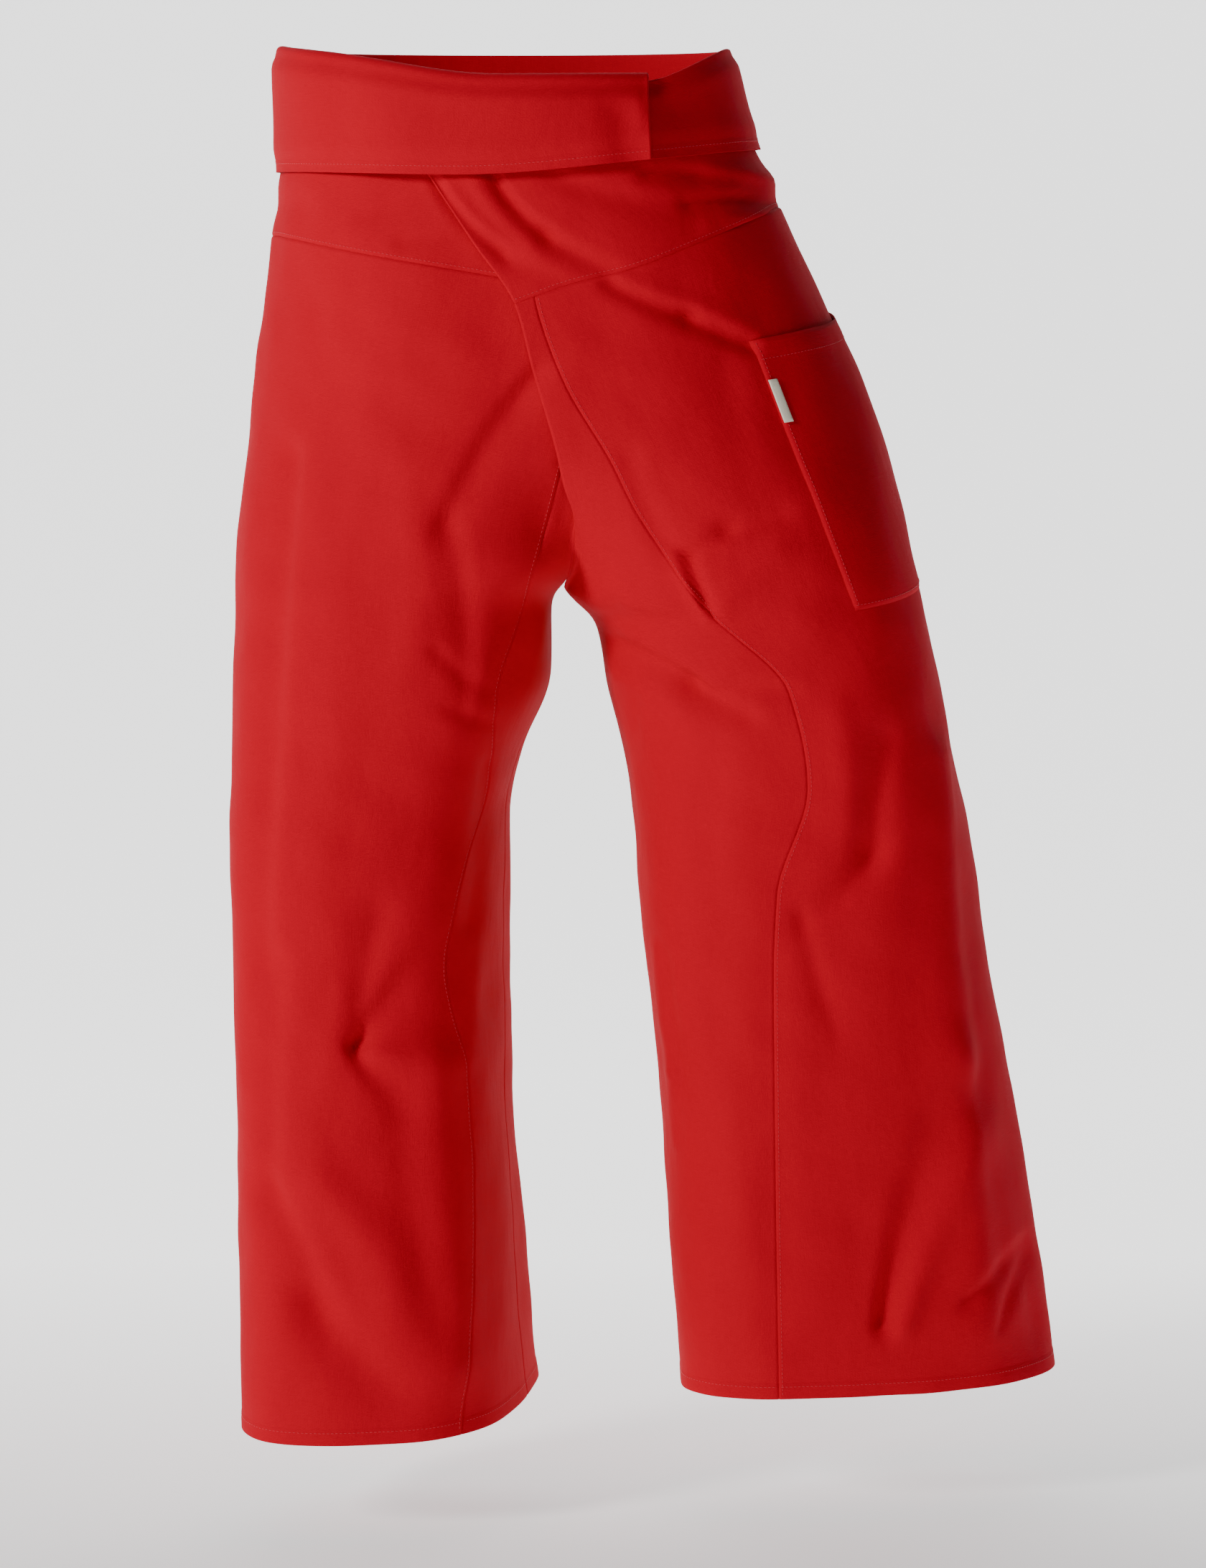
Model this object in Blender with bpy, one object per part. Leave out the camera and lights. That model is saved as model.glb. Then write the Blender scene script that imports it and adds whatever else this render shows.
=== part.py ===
"""Thai fisherman pants, worn and filled out, with no wearer.

Frame: origin at the middle of the waist at the height of the ties, +X to the wearer's left,
-Y to the front, +Z up. Every piece of cloth is a wall on one shared surface. The surface is
a stack of level sections: above the crotch one loop with a Z-pleat in front, below it one
loop for each leg.
"""
import math

import bpy
import numpy as np

MM = 0.001
WALL = 1.2 * MM              # thickness of the cloth as built
SEAM_GAP = 0.3 * MM          # between two pieces sewn edge to edge
LAID_GAP = 0.7 * MM          # between a panel and what is sewn flat on it
CROTCH = -0.360              # level where the two legs part

# The level sections of one half, each a superellipse leaning to one side.
# level: height; outer, inner: X of its two sides; front, back: Y of its two faces;
# squareness: exponent; lean: shear of X with Y; tilt: shear of Y with X.
SECTION_COLUMNS = ("level", "outer", "inner", "front", "back", "squareness", "lean", "tilt")
RIGHT_SECTIONS = (
    (0.060, -0.165, 0.158, -0.116, 0.116, 2.30, 0.00, 0.00),
    (0.000, -0.167, 0.170, -0.119, 0.121, 2.30, 0.00, 0.00),
    (-0.050, -0.170, 0.191, -0.121, 0.126, 2.30, 0.00, 0.00),
    (-0.100, -0.178, 0.213, -0.124, 0.132, 2.30, 0.00, 0.00),
    (-0.150, -0.184, 0.237, -0.126, 0.136, 2.30, 0.00, 0.00),
    (-0.200, -0.190, 0.230, -0.127, 0.137, 2.30, 0.00, 0.00),
    (-0.250, -0.195, 0.170, -0.127, 0.136, 2.30, 0.00, 0.00),
    (-0.300, -0.201, 0.110, -0.126, 0.134, 2.30, 0.00, 0.00),
    (-0.335, -0.204, 0.076, -0.125, 0.131, 2.30, 0.00, 0.00),
    (-0.352, -0.205, 0.050, -0.125, 0.130, 2.30, 0.00, 0.00),
    (-0.360, -0.205, 0.0325, -0.124, 0.130, 2.30, 0.00, 0.00),
    (-0.420, -0.206, 0.030, -0.122, 0.124, 2.45, 0.03, 0.00),
    (-0.485, -0.206, 0.006, -0.120, 0.119, 2.50, 0.08, 0.02),
    (-0.530, -0.206, -0.004, -0.118, 0.115, 2.55, 0.12, 0.04),
    (-0.620, -0.204, -0.005, -0.115, 0.110, 2.60, 0.15, 0.06),
    (-0.730, -0.201, -0.005, -0.112, 0.108, 2.70, 0.18, 0.08),
    (-0.840, -0.198, 0.002, -0.111, 0.109, 2.80, 0.20, 0.08),
    (-1.000, -0.193, 0.014, -0.111, 0.112, 2.90, 0.24, 0.08),
)
LEFT_SECTIONS = (
    (0.060, 0.158, -0.165, -0.116, 0.116, 2.30, 0.00, 0.00),
    (0.000, 0.170, -0.167, -0.119, 0.121, 2.30, 0.00, 0.00),
    (-0.050, 0.191, -0.170, -0.121, 0.126, 2.30, 0.00, 0.00),
    (-0.100, 0.213, -0.178, -0.124, 0.132, 2.30, 0.00, 0.00),
    (-0.150, 0.237, -0.184, -0.126, 0.136, 2.30, 0.00, 0.00),
    (-0.200, 0.262, -0.160, -0.128, 0.138, 2.30, 0.00, 0.00),
    (-0.250, 0.280, -0.090, -0.128, 0.138, 2.30, 0.00, 0.00),
    (-0.300, 0.294, -0.003, -0.126, 0.136, 2.30, 0.00, 0.00),
    (-0.335, 0.302, 0.029, -0.125, 0.133, 2.30, 0.00, 0.00),
    (-0.352, 0.306, 0.0365, -0.124, 0.131, 2.30, 0.00, 0.00),
    (-0.360, 0.308, 0.0345, -0.123, 0.131, 2.30, 0.00, 0.00),
    (-0.377, 0.312, 0.063, -0.120, 0.130, 2.30, 0.00, 0.00),
    (-0.430, 0.324, 0.073, -0.113, 0.130, 2.30, 0.00, 0.02),
    (-0.485, 0.335, 0.087, -0.104, 0.131, 2.30, 0.00, 0.05),
    (-0.540, 0.347, 0.094, -0.095, 0.133, 2.35, 0.00, 0.08),
    (-0.620, 0.359, 0.100, -0.084, 0.136, 2.40, 0.00, 0.12),
    (-0.730, 0.380, 0.113, -0.066, 0.140, 2.45, 0.00, 0.17),
    (-0.840, 0.401, 0.121, -0.048, 0.144, 2.50, 0.00, 0.21),
    (-1.000, 0.426, 0.133, -0.030, 0.148, 2.60, 0.00, 0.25),
)
# The Z-pleat. outer_fold: X of the fold that shows, where the wearer's left half starts;
# inner_fold: X of the hidden fold, where the right half starts; back_seam: X of the centre
# back seam; pitch: depth from one layer of cloth to the next.
PLEAT_COLUMNS = ("level", "outer_fold", "inner_fold", "back_seam", "pitch")
PLEAT = (
    (0.060, -0.118, 0.100, -0.0035, 0.0030),
    (0.000, -0.088, 0.101, 0.0015, 0.0030),
    (-0.050, -0.056, 0.103, 0.0105, 0.0030),
    (-0.100, -0.023, 0.103, 0.0180, 0.0030),
    (-0.144, 0.007, 0.100, 0.0260, 0.0030),
    (-0.195, 0.021, 0.082, 0.0350, 0.0031),
    (-0.252, 0.038, 0.064, 0.0420, 0.0042),
    (-0.280, 0.044, 0.056, 0.0490, 0.0056),
    (-0.300, 0.048, 0.050, 0.0520, 0.0056),
    (-0.335, 0.0515, 0.0435, 0.0520, 0.0026),
    (-0.352, 0.0450, 0.0395, 0.0440, 0.0012),
    (-0.360, 0.0345, 0.0325, 0.0335, 0.0006),
    (-1.000, 0.0345, 0.0325, 0.0335, 0.0006),
)
PLEAT_END = -0.303           # level where the pleat has opened out
PLEAT_OPENING = 0.020        # height over which it opens
PLEAT_REACH, PLEAT_EASE = 0.150, 0.035   # half width over which the layers lie square
HELD_END, HELD_HEIGHT = -0.350, 0.040   # where the right half stops following the left one
OVERLAP_EASE = 0.100         # length over which the right half sinks under the left one

# X of the seam between each leg panel and its front inset, by height.
SEAM_COLUMNS = ("level", "right", "left")
FRONT_SEAMS = (
    (-0.080, 0.092, 0.010),
    (-0.144, 0.078, 0.021),
    (-0.200, 0.058, 0.041),
    (-0.258, 0.041, 0.075),
    (-0.300, 0.030, 0.096),
    (-0.368, 0.010, 0.146),
    (-0.426, -0.005, 0.205),
    (-0.500, -0.012, 0.220),
    (-0.580, -0.036, 0.198),
    (-0.638, -0.044, 0.196),
    (-0.713, -0.032, 0.197),
    (-0.821, -0.027, 0.199),
    (-1.000, -0.037, 0.203),
)
# The same for the back insets.
BACK_SEAMS = (
    (-0.080, -0.012, 0.040),
    (-0.144, -0.010, 0.062),
    (-0.200, -0.008, 0.082),
    (-0.258, -0.012, 0.108),
    (-0.300, -0.018, 0.130),
    (-0.368, -0.032, 0.168),
    (-0.430, -0.045, 0.190),
    (-0.600, -0.060, 0.205),
    (-0.800, -0.055, 0.222),
    (-1.000, -0.040, 0.235),
)
# Heights round the waist by X: the seam under the yoke, and the top fold and free edge of
# the fold-over.
YOKE_FRONT_RIGHT = ((-0.172, -0.095), (-0.100, -0.109), (-0.017, -0.123), (0.100, -0.1435))
YOKE_FRONT_LEFT = ((0.007, -0.1435), (0.049, -0.129), (0.090, -0.119), (0.145, -0.098),
                   (0.199, -0.074))
YOKE_BACK = ((-0.172, -0.095), (0.000, -0.088), (0.199, -0.074))
YOKE_UNDER_PLEAT = -0.1435
FOLD_FRONT = ((-0.165, 0.040), (-0.100, 0.026), (-0.009, 0.014), (0.098, 0.015), (0.160, 0.041))
FOLD_BACK = 0.041
EDGE_FRONT = ((-0.165, -0.048), (-0.035, -0.051), (0.103, -0.040), (0.183, -0.031))
EDGE_BACK = ((-0.165, -0.048), (0.183, -0.031))

# The fold-over stands off the yoke by a gap that is small at the top fold and holds the
# ties lower down.
FOLD_GAP = 2.6 * MM
TIE_ROOM = 6.6 * MM
TIE_ROOM_DEPTH = 12 * MM
TIE_WIDTH = 24 * MM
TIE_MIDDLE = -16 * MM        # height of the ties' middle line
TIE_END = 0.035              # how far each tie passes the middle of the front

HEM_LEVEL = {"right": -0.977, "left": -0.967}
HEM_RISE = {"right": 0.10, "left": 0.02}     # rise of the hem per metre to the back

# Main folds of the legs and yoke: soft troughs (depth below 0) and ridges. Each runs from
# (x0, z0) to (x1, z1), bowed sideways by bow, and fades out at both ends.
FOLD_COLUMNS = ("x0", "z0", "x1", "z1", "bow", "width", "depth")
FRONT_FOLDS = (
    (-0.172, -0.300, -0.176, -0.640, -0.006, 0.018, -0.0040),
    (0.010, -0.200, -0.050, -0.330, -0.010, 0.020, -0.0045),
    (-0.050, -0.330, -0.040, -0.480, 0.008, 0.018, -0.0035),
    (-0.105, -0.690, -0.050, -0.715, 0.010, 0.018, -0.0060),
    (-0.165, -0.790, -0.105, -0.930, 0.006, 0.022, -0.0045),
    (-0.130, -0.780, -0.075, -0.925, 0.006, 0.020, 0.0035),
    (-0.055, -0.060, 0.040, -0.130, -0.012, 0.016, -0.0045),
    (0.010, -0.060, 0.090, -0.125, -0.012, 0.014, -0.0035),
    (0.085, -0.130, 0.175, -0.172, 0.004, 0.014, -0.0035),
    (0.130, -0.330, 0.185, -0.300, 0.006, 0.014, -0.0040),
    (0.085, -0.385, 0.180, -0.445, -0.008, 0.018, -0.0050),
    (0.215, -0.610, 0.285, -0.480, -0.012, 0.026, -0.0060),
    (0.290, -0.890, 0.335, -0.720, -0.006, 0.020, -0.0055),
    (0.345, -0.880, 0.395, -0.840, 0.004, 0.016, -0.0045),
)
BACK_FOLDS = (
    (-0.120, -0.180, -0.030, -0.330, 0.012, 0.024, -0.0060),
    (0.150, -0.170, 0.060, -0.330, -0.014, 0.024, -0.0055),
    (-0.040, -0.370, -0.110, -0.520, 0.010, 0.022, -0.0050),
    (0.120, -0.380, 0.220, -0.520, -0.010, 0.022, -0.0055),
    (-0.130, -0.560, -0.120, -0.880, 0.008, 0.026, -0.0050),
    (0.260, -0.560, 0.300, -0.900, 0.010, 0.026, -0.0055),
    (-0.060, -0.700, -0.050, -0.930, -0.006, 0.022, 0.0040),
    (0.190, -0.640, 0.200, -0.910, 0.006, 0.022, 0.0040),
)

# The patch pocket on the wearer's left leg, and the small blank label in its edge.
POCKET_TOP, POCKET_BOTTOM = -0.171, -0.368   # levels of the ends of its front edge
POCKET_TOP_X, POCKET_BOTTOM_X = 0.177, 0.254
POCKET_WIDTH = 0.160
POCKET_RISE = 0.13           # rise of its top and bottom edges per metre to the back
LABEL_TOP, LABEL_BOTTOM = -0.200, -0.231
LABEL_WIDTH = 7.5 * MM
LABEL_WALL = 1.0 * MM

# Mesh density.
ROW_LEVELS = (-0.110, -0.140, -0.170, -0.200, -0.228, -0.252, -0.270, -0.284, -0.296, -0.308,
              -0.320, -0.332, -0.343, -0.352, -0.357, -0.360, -0.366, -0.377, -0.398, -0.425,
              -0.455,
              -0.490, -0.525, -0.565, -0.610, -0.660, -0.710, -0.760, -0.810, -0.860,
              -0.910, -0.950, -0.977)
CURVE_STEPS = 160
MIDDLE_STEPS = 4
TURN_STEPS = 6
INSET_FRONT_STEPS = 5
INSET_BACK_STEPS = 5
PANEL_STEPS = 20
YOKE_STEPS = 30
YOKE_ROWS = 6
ARC_ROWS = 5
FLAP_ROWS = 4

RED = (0.72, 0.004, 0.008)
CREAM = (0.80, 0.72, 0.55)


def smooth(t):
    """0 below 0, 1 above 1, with no corner between."""
    t = np.clip(t, 0.0, 1.0)
    return t * t * (3.0 - 2.0 * t)


def curve_through(xs, ys, x):
    """A smooth curve through points with rising xs that never overshoots them."""
    xs, ys = np.asarray(xs, float), np.asarray(ys, float)
    step = np.diff(xs)
    slope = np.diff(ys) / step
    tangent = np.zeros(len(xs))
    tangent[0], tangent[-1] = slope[0], slope[-1]
    same = slope[:-1] * slope[1:] > 0.0
    harmonic = 2.0 * slope[:-1] * slope[1:] / np.where(same, slope[:-1] + slope[1:], 1.0)
    tangent[1:-1] = np.where(same, harmonic, 0.0)
    x = np.clip(x, xs[0], xs[-1])
    i = np.clip(np.searchsorted(xs, x) - 1, 0, len(step) - 1)
    h, t = step[i], (x - xs[i]) / step[i]
    return (ys[i] * (1 + 2 * t) * (1 - t) ** 2 + tangent[i] * h * t * (1 - t) ** 2
            + ys[i + 1] * t * t * (3 - 2 * t) + tangent[i + 1] * h * t * t * (t - 1))


def column(table, names, name, level):
    """One column of a table by level, read as a smooth curve."""
    rows = table[::-1]
    k = names.index(name)
    return curve_through([r[0] for r in rows], [r[k] for r in rows], level)


def along(points, x):
    return curve_through([p[0] for p in points], [p[1] for p in points], x)


def section(side, level):
    """Middle, half sizes and shears of one half's section, as columns of arrays."""
    table = RIGHT_SECTIONS if side == "right" else LEFT_SECTIONS
    outer, inner, front, back, power, lean, tilt = (
        column(table, SECTION_COLUMNS, name, level)[:, None] for name in SECTION_COLUMNS[1:])
    return {"x": (outer + inner) / 2, "a": (outer - inner) / 2, "y": (front + back) / 2,
            "b": (back - front) / 2, "n": power, "lean": lean, "tilt": tilt}


def pleat(name, level):
    return column(PLEAT, PLEAT_COLUMNS, name, level)[:, None]


def front_face(s, x):
    """Y of the front of a section at X, above the crotch."""
    u = np.clip(np.abs((x - s["x"]) / s["a"]), 0.0, 1.0)
    return s["y"] - s["b"] * (1.0 - u ** s["n"]) ** (1.0 / s["n"])


def ring_angle(s, x):
    """Angle from the outer side at which a section reaches X."""
    u = np.clip((x - s["x"]) / s["a"], -1.0, 1.0)
    return np.arccos(np.sign(u) * np.abs(u) ** (s["n"] / 2.0))


def ring_point(s, angle):
    c, d = np.cos(angle), np.sin(angle)
    x = s["a"] * np.sign(c) * np.abs(c) ** (2.0 / s["n"])
    y = s["b"] * np.sign(d) * np.abs(d) ** (2.0 / s["n"])
    return s["x"] + x + s["lean"] * y, s["y"] + y + s["tilt"] * x


def fold_height(table, x, z):
    """Sum of the folds at points of one face."""
    total = np.zeros(np.broadcast(x, z).shape)
    for x0, z0, x1, z1, bow, width, depth in table:
        dx, dz = x1 - x0, z1 - z0
        length = math.hypot(dx, dz)
        t = ((x - x0) * dx + (z - z0) * dz) / length ** 2
        across = ((x - x0) * dz - (z - z0) * dx) / length
        across = across - bow * 4.0 * np.clip(t, 0, 1) * (1.0 - np.clip(t, 0, 1))
        beyond = np.maximum(np.abs(t - 0.5) - 0.5, 0.0) * length
        reach = np.exp(-(across / width) ** 2 - (beyond / width) ** 2)
        total += depth * reach * (0.35 + 0.65 * np.sin(np.pi * np.clip(t, 0, 1)))
    return total


def half_curve(side, level):
    """Loop of one half at each level, from the hidden front seam to the back seam.

    Gives x, y, layer (how many layers lie outside it, 0 to 2) and the outward direction of
    the loop without its pleat.
    """
    level = np.asarray(level, float)
    own, left, right = section(side, level), section("left", level), section("right", level)
    fold_l, fold_r = pleat("outer_fold", level), pleat("inner_fold", level)
    pitch, back_x = pleat("pitch", level), pleat("back_seam", level)
    start_x = fold_l if side == "left" else fold_r
    above = (level > CROTCH)[:, None]
    begin = np.where(above, -ring_angle(own, start_x), -np.pi)
    end = np.where(above, ring_angle(own, back_x), np.pi)
    t = np.linspace(0.0, 1.0, CURVE_STEPS + 1)[None, :]
    angle = begin + (end - begin) * t
    x, y = ring_point(own, angle)

    # Both halves meet at one centre back seam.
    back_y = {}
    for name, s in (("left", left), ("right", right)):
        back_y[name] = ring_point(s, ring_angle(s, back_x))[1]
    meet = (back_y["left"] + back_y["right"]) / 2
    y = y + np.where(above, meet - y[:, -1:], 0.0) * smooth((t - 0.65) / 0.35)

    # The right half lies two layers under the left one where they overlap.
    width = fold_r - fold_l
    held = np.where(above, smooth((level - HELD_END) / HELD_HEIGHT)[:, None], 0.0)
    layer = np.zeros_like(x)
    shift = front_face(left, fold_l) + 2.0 * pitch - front_face(right, fold_l)

    def sunk(x, y):
        """Y of the right half's front where it lies under the left one, and how far it does."""
        under = smooth((x - (fold_l - OVERLAP_EASE)) / OVERLAP_EASE) * held
        beneath = np.where(x > fold_l, front_face(left, x) + 2.0 * pitch, y + shift)
        return y + under * (beneath - y), under

    if side == "right":
        lower_y, under = sunk(x, y)
        y = np.where(angle < 0.0, lower_y, y)
        layer = np.where(angle < 0.0, 2.0 * under, 0.0)

    # The hidden middle layer from the front seam, and the turn of the fold.
    left_y = front_face(left, fold_l)
    right_y = sunk(fold_r, ring_point(right, -ring_angle(right, fold_r))[1])[0]
    f0 = np.linspace(0.5, 1.0 if side == "right" else 0.0, 9)[None, :]
    mid_x = fold_l + f0 * width
    mid_y = front_face(left, mid_x) + pitch
    if side == "left":
        turn = np.linspace(0.5, 1.5, 13)[None, 1:-1] * np.pi
        turn_x = fold_l + pitch / 2 * np.cos(turn)
        turn_y = left_y + pitch / 2 + pitch / 2 * np.sin(turn)
        turn_layer = 0.5 + 0.5 * np.sin(turn)
    else:
        turn = np.linspace(-0.5, 0.5, 13)[None, 1:-1] * np.pi
        turn_x = fold_r + pitch / 2 * np.cos(turn)
        turn_y = right_y - pitch / 2 + pitch / 2 * np.sin(turn)
        turn_layer = 1.5 + 0.5 * np.sin(turn)
    # Lower down the pleat opens out to a plain link between the halves.
    bridge_x = np.concatenate([mid_x, turn_x + 0.0 * turn_y], axis=1)
    bridge_y = np.concatenate([mid_y, turn_y], axis=1)
    plain = np.linspace(0.0, 1.0, bridge_x.shape[1])[None, :]
    left_xy = ring_point(left, -ring_angle(left, fold_l))
    centre_x = (fold_l + fold_r) / 2
    centre_y = (left_xy[1] + right_y) / 2
    plain_x = centre_x + plain * (x[:, :1] - centre_x)
    plain_y = centre_y + plain * (y[:, :1] - centre_y)
    folded = smooth((level - PLEAT_END) / PLEAT_OPENING)[:, None]
    bridge_x = plain_x + folded * (bridge_x - plain_x)
    bridge_y = plain_y + folded * (bridge_y - plain_y)
    bridge_x = np.where(above, bridge_x, x[:, :1])
    bridge_y = np.where(above, bridge_y, y[:, :1])

    full_x = np.concatenate([bridge_x, x], axis=1)
    full_y = np.concatenate([bridge_y, y], axis=1)
    full_layer = np.concatenate([np.ones_like(mid_x), turn_layer + np.zeros_like(turn_x), layer],
                                axis=1)
    front = np.concatenate([np.ones_like(mid_x), np.ones_like(turn_x),
                            smooth(-np.sin(angle) / 0.5) * (angle < 0.0)], axis=1)
    back = np.concatenate([np.zeros_like(mid_x), np.zeros_like(turn_x),
                           smooth(np.sin(angle) / 0.5) * (angle > 0.0)], axis=1)
    z = level[:, None]
    full_y = (full_y - front * fold_height(FRONT_FOLDS, full_x, z)
              + back * fold_height(BACK_FOLDS, full_x, z))
    return full_x, full_y, full_layer


MIDDLE_POINTS = 9
TURN_POINTS = 11


def measure(side, level):
    """The loop with its running length and the lengths of its stretches."""
    x, y, layer = half_curve(side, level)
    run = np.zeros_like(x)
    run[:, 1:] = np.cumsum(np.hypot(np.diff(x, axis=1), np.diff(y, axis=1)), axis=1)
    first = MIDDLE_POINTS + TURN_POINTS
    return {"x": x, "y": y, "layer": layer, "run": run, "middle": run[:, MIDDLE_POINTS - 1],
            "start": run[:, first], "total": run[:, -1]}


def pick(loop, name, distance):
    """A value of each loop at one distance along it."""
    return np.array([np.interp(d, r, v)
                     for d, r, v in zip(distance, loop["run"], loop[name])])


def reach_x(side, loop, goals, face):
    """Distance at which the front or the back of a loop reaches an X."""
    first = MIDDLE_POINTS + TURN_POINTS
    sign = 1.0 if side == "left" else -1.0
    found = []
    for x, run, goal in zip(loop["x"], loop["run"], goals):
        xs = sign * x[first:]
        tip = int(np.argmax(xs)) + 1
        if face == "front":
            rising = np.maximum.accumulate(xs[:tip])
            found.append(np.interp(sign * goal, rising, run[first:first + tip]))
        else:
            rising = np.maximum.accumulate(xs[tip - 1:][::-1])
            found.append(np.interp(sign * goal, rising, run[first + tip - 1:][::-1]))
    return np.array(found)


def seam_ends(side, loop, level):
    """Distances of the two seams of a leg panel."""
    front = column(FRONT_SEAMS, SEAM_COLUMNS, side, level)
    back = column(BACK_SEAMS, SEAM_COLUMNS, side, level)
    return reach_x(side, loop, front, "front"), reach_x(side, loop, back, "back")


def distances(side, piece, share, level):
    """Running distances on a piece for shares 0 to 1 across it, at each level."""
    loop = measure(side, level)
    half = SEAM_GAP / 2
    seam, back = seam_ends(side, loop, level)
    if piece == "panel":
        low, high = seam + half, back - half
    elif piece == "inset_back":
        low, high = back + half, loop["total"] - half
    elif piece == "yoke":
        low, high = np.zeros_like(seam), loop["total"]
    else:
        low, high = np.full_like(seam, half), seam - half
    even = low + (high - low) * share
    if piece in ("panel", "inset_back"):
        return loop, even
    # Columns follow the fold while there is one, and spread evenly below it.
    steps = INSET_FRONT_STEPS if piece == "inset_front" else YOKE_STEPS
    total = MIDDLE_STEPS + TURN_STEPS + steps
    place = share * total
    knots = np.stack([low, np.maximum(loop["middle"], low + 0.001),
                      np.maximum(loop["start"], low + 0.002), high])
    marks = (0.0, MIDDLE_STEPS, MIDDLE_STEPS + TURN_STEPS, total)
    fitted = np.array([np.interp(p, marks, knots[:, i]) for i, p in enumerate(place)])
    follow = smooth((level - CROTCH - 0.003) / 0.045)
    return loop, even + follow * (fitted - even)


def surface(side, piece, share, level):
    """Points of the cloth's middle for shares across a piece and heights."""
    loop, distance = distances(side, piece, share, level)
    return np.stack([pick(loop, "x", distance), pick(loop, "y", distance), level], axis=-1)


def surface_normal(side, piece, share, level):
    """Unit direction out of the garment, from small steps across and down."""
    loop, distance = distances(side, piece, share, level)
    d = 0.25 * MM
    low = np.maximum(distance - d, 0.0)
    high = np.minimum(distance + d, loop["total"])
    across = np.stack([pick(loop, "x", high) - pick(loop, "x", low),
                       pick(loop, "y", high) - pick(loop, "y", low),
                       np.zeros_like(level)], axis=-1)
    down = surface(side, piece, share, level + d) - surface(side, piece, share, level - d)
    normal = np.cross(across, down)
    if side == "right":
        normal = -normal
    return normal / np.maximum(np.linalg.norm(normal, axis=-1, keepdims=True), 1e-12)


def height_where(side, piece, share, rule):
    """Heights at which a piece's columns meet a line given by a rule of X and Y."""
    level = np.full_like(share, ROW_LEVELS[0])
    for _ in range(8):
        loop, distance = distances(side, piece, share, level)
        x, y = pick(loop, "x", distance), pick(loop, "y", distance)
        level = rule(x, y, distance < loop["start"])
    return level


def yoke_seam(side, piece, share):
    """Height of the seam under the yoke at each share across a piece."""
    front = YOKE_FRONT_LEFT if side == "left" else YOKE_FRONT_RIGHT

    def rule(x, y, hidden):
        height = np.where(y < 0.0, along(front, x), along(YOKE_BACK, x))
        return np.where(hidden, YOKE_UNDER_PLEAT, height)

    return height_where(side, piece, share, rule)


def fold_line(x, y, hidden):
    back = smooth((y + 0.05) / 0.05)
    return along(FOLD_FRONT, x) * (1.0 - back) + FOLD_BACK * back


def flap_edge(x, y, hidden):
    return np.where(y < 0.0, along(EDGE_FRONT, x), along(EDGE_BACK, x))


def hem_height(side, y):
    return HEM_LEVEL[side] + HEM_RISE[side] * y


def row_heights(side, piece, share, nominal):
    """Heights of one row of a leg piece, following the yoke seam and the hem."""
    top, bottom = ROW_LEVELS[0], ROW_LEVELS[-1]
    seam = yoke_seam(side, piece, share) - SEAM_GAP
    level = np.full_like(share, nominal)
    near_hem = surface(side, piece, share, np.full_like(share, bottom))
    at_top = 1.0 - smooth((top - nominal) / 0.150)
    at_hem = smooth((nominal + 0.760) / (bottom + 0.760)) if nominal < -0.760 else 0.0
    return level + at_top * (seam - top) + at_hem * (hem_height(side, near_hem[:, 1]) - bottom)


def distance_between(verts, i, j):
    return float(np.linalg.norm(verts[i] - verts[j]))


def wall(name, outside, inside, closed, colour):
    """A closed wall between two grids of points, rows by columns."""
    rows, cols = outside.shape[:2]
    verts = np.concatenate([outside.reshape(-1, 3), inside.reshape(-1, 3)])
    offset = rows * cols

    def at(layer, r, c):
        return layer * offset + r * cols + c % cols

    faces = []
    spans = cols if closed else cols - 1
    for r in range(rows - 1):
        for c in range(spans):
            a, b, d, e = at(0, r, c), at(0, r + 1, c), at(0, r + 1, c + 1), at(0, r, c + 1)
            if distance_between(verts, a, d) <= distance_between(verts, b, e):
                pair = ([a, b, d], [a, d, e])
            else:
                pair = ([a, b, e], [b, d, e])
            for triangle in pair:
                faces.append(triangle)
                faces.append([i + offset for i in reversed(triangle)])
    for c in range(spans):
        faces.append([at(0, 0, c + 1), at(1, 0, c + 1), at(1, 0, c), at(0, 0, c)])
        r = rows - 1
        faces.append([at(0, r, c), at(1, r, c), at(1, r, c + 1), at(0, r, c + 1)])
    if not closed:
        for r in range(rows - 1):
            faces.append([at(0, r, 0), at(1, r, 0), at(1, r + 1, 0), at(0, r + 1, 0)])
            c = cols - 1
            faces.append([at(0, r + 1, c), at(1, r + 1, c), at(1, r, c), at(0, r, c)])
    mesh = bpy.data.meshes.new(name)
    mesh.from_pydata(verts.tolist(), [], faces)
    obj = bpy.data.objects.new(name, mesh)
    bpy.context.collection.objects.link(obj)
    mesh.materials.append(material(name, colour))
    mesh.shade_smooth()
    if signed_volume(verts, faces) < 0.0:
        mesh.flip_normals()
    mesh.update()
    return obj


def signed_volume(verts, faces):
    total = 0.0
    for face in faces:
        a = verts[face[0]]
        for i in range(1, len(face) - 1):
            total += float(np.dot(a, np.cross(verts[face[i]], verts[face[i + 1]])))
    return total / 6.0


def material(name, colour):
    mat = bpy.data.materials.new(name + "_cloth")
    mat.use_nodes = True
    shader = mat.node_tree.nodes["Principled BSDF"]
    shader.inputs["Base Color"].default_value = (*colour, 1.0)
    shader.inputs["Roughness"].default_value = 0.9
    shader.inputs["Metallic"].default_value = 0.0
    return mat


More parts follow.
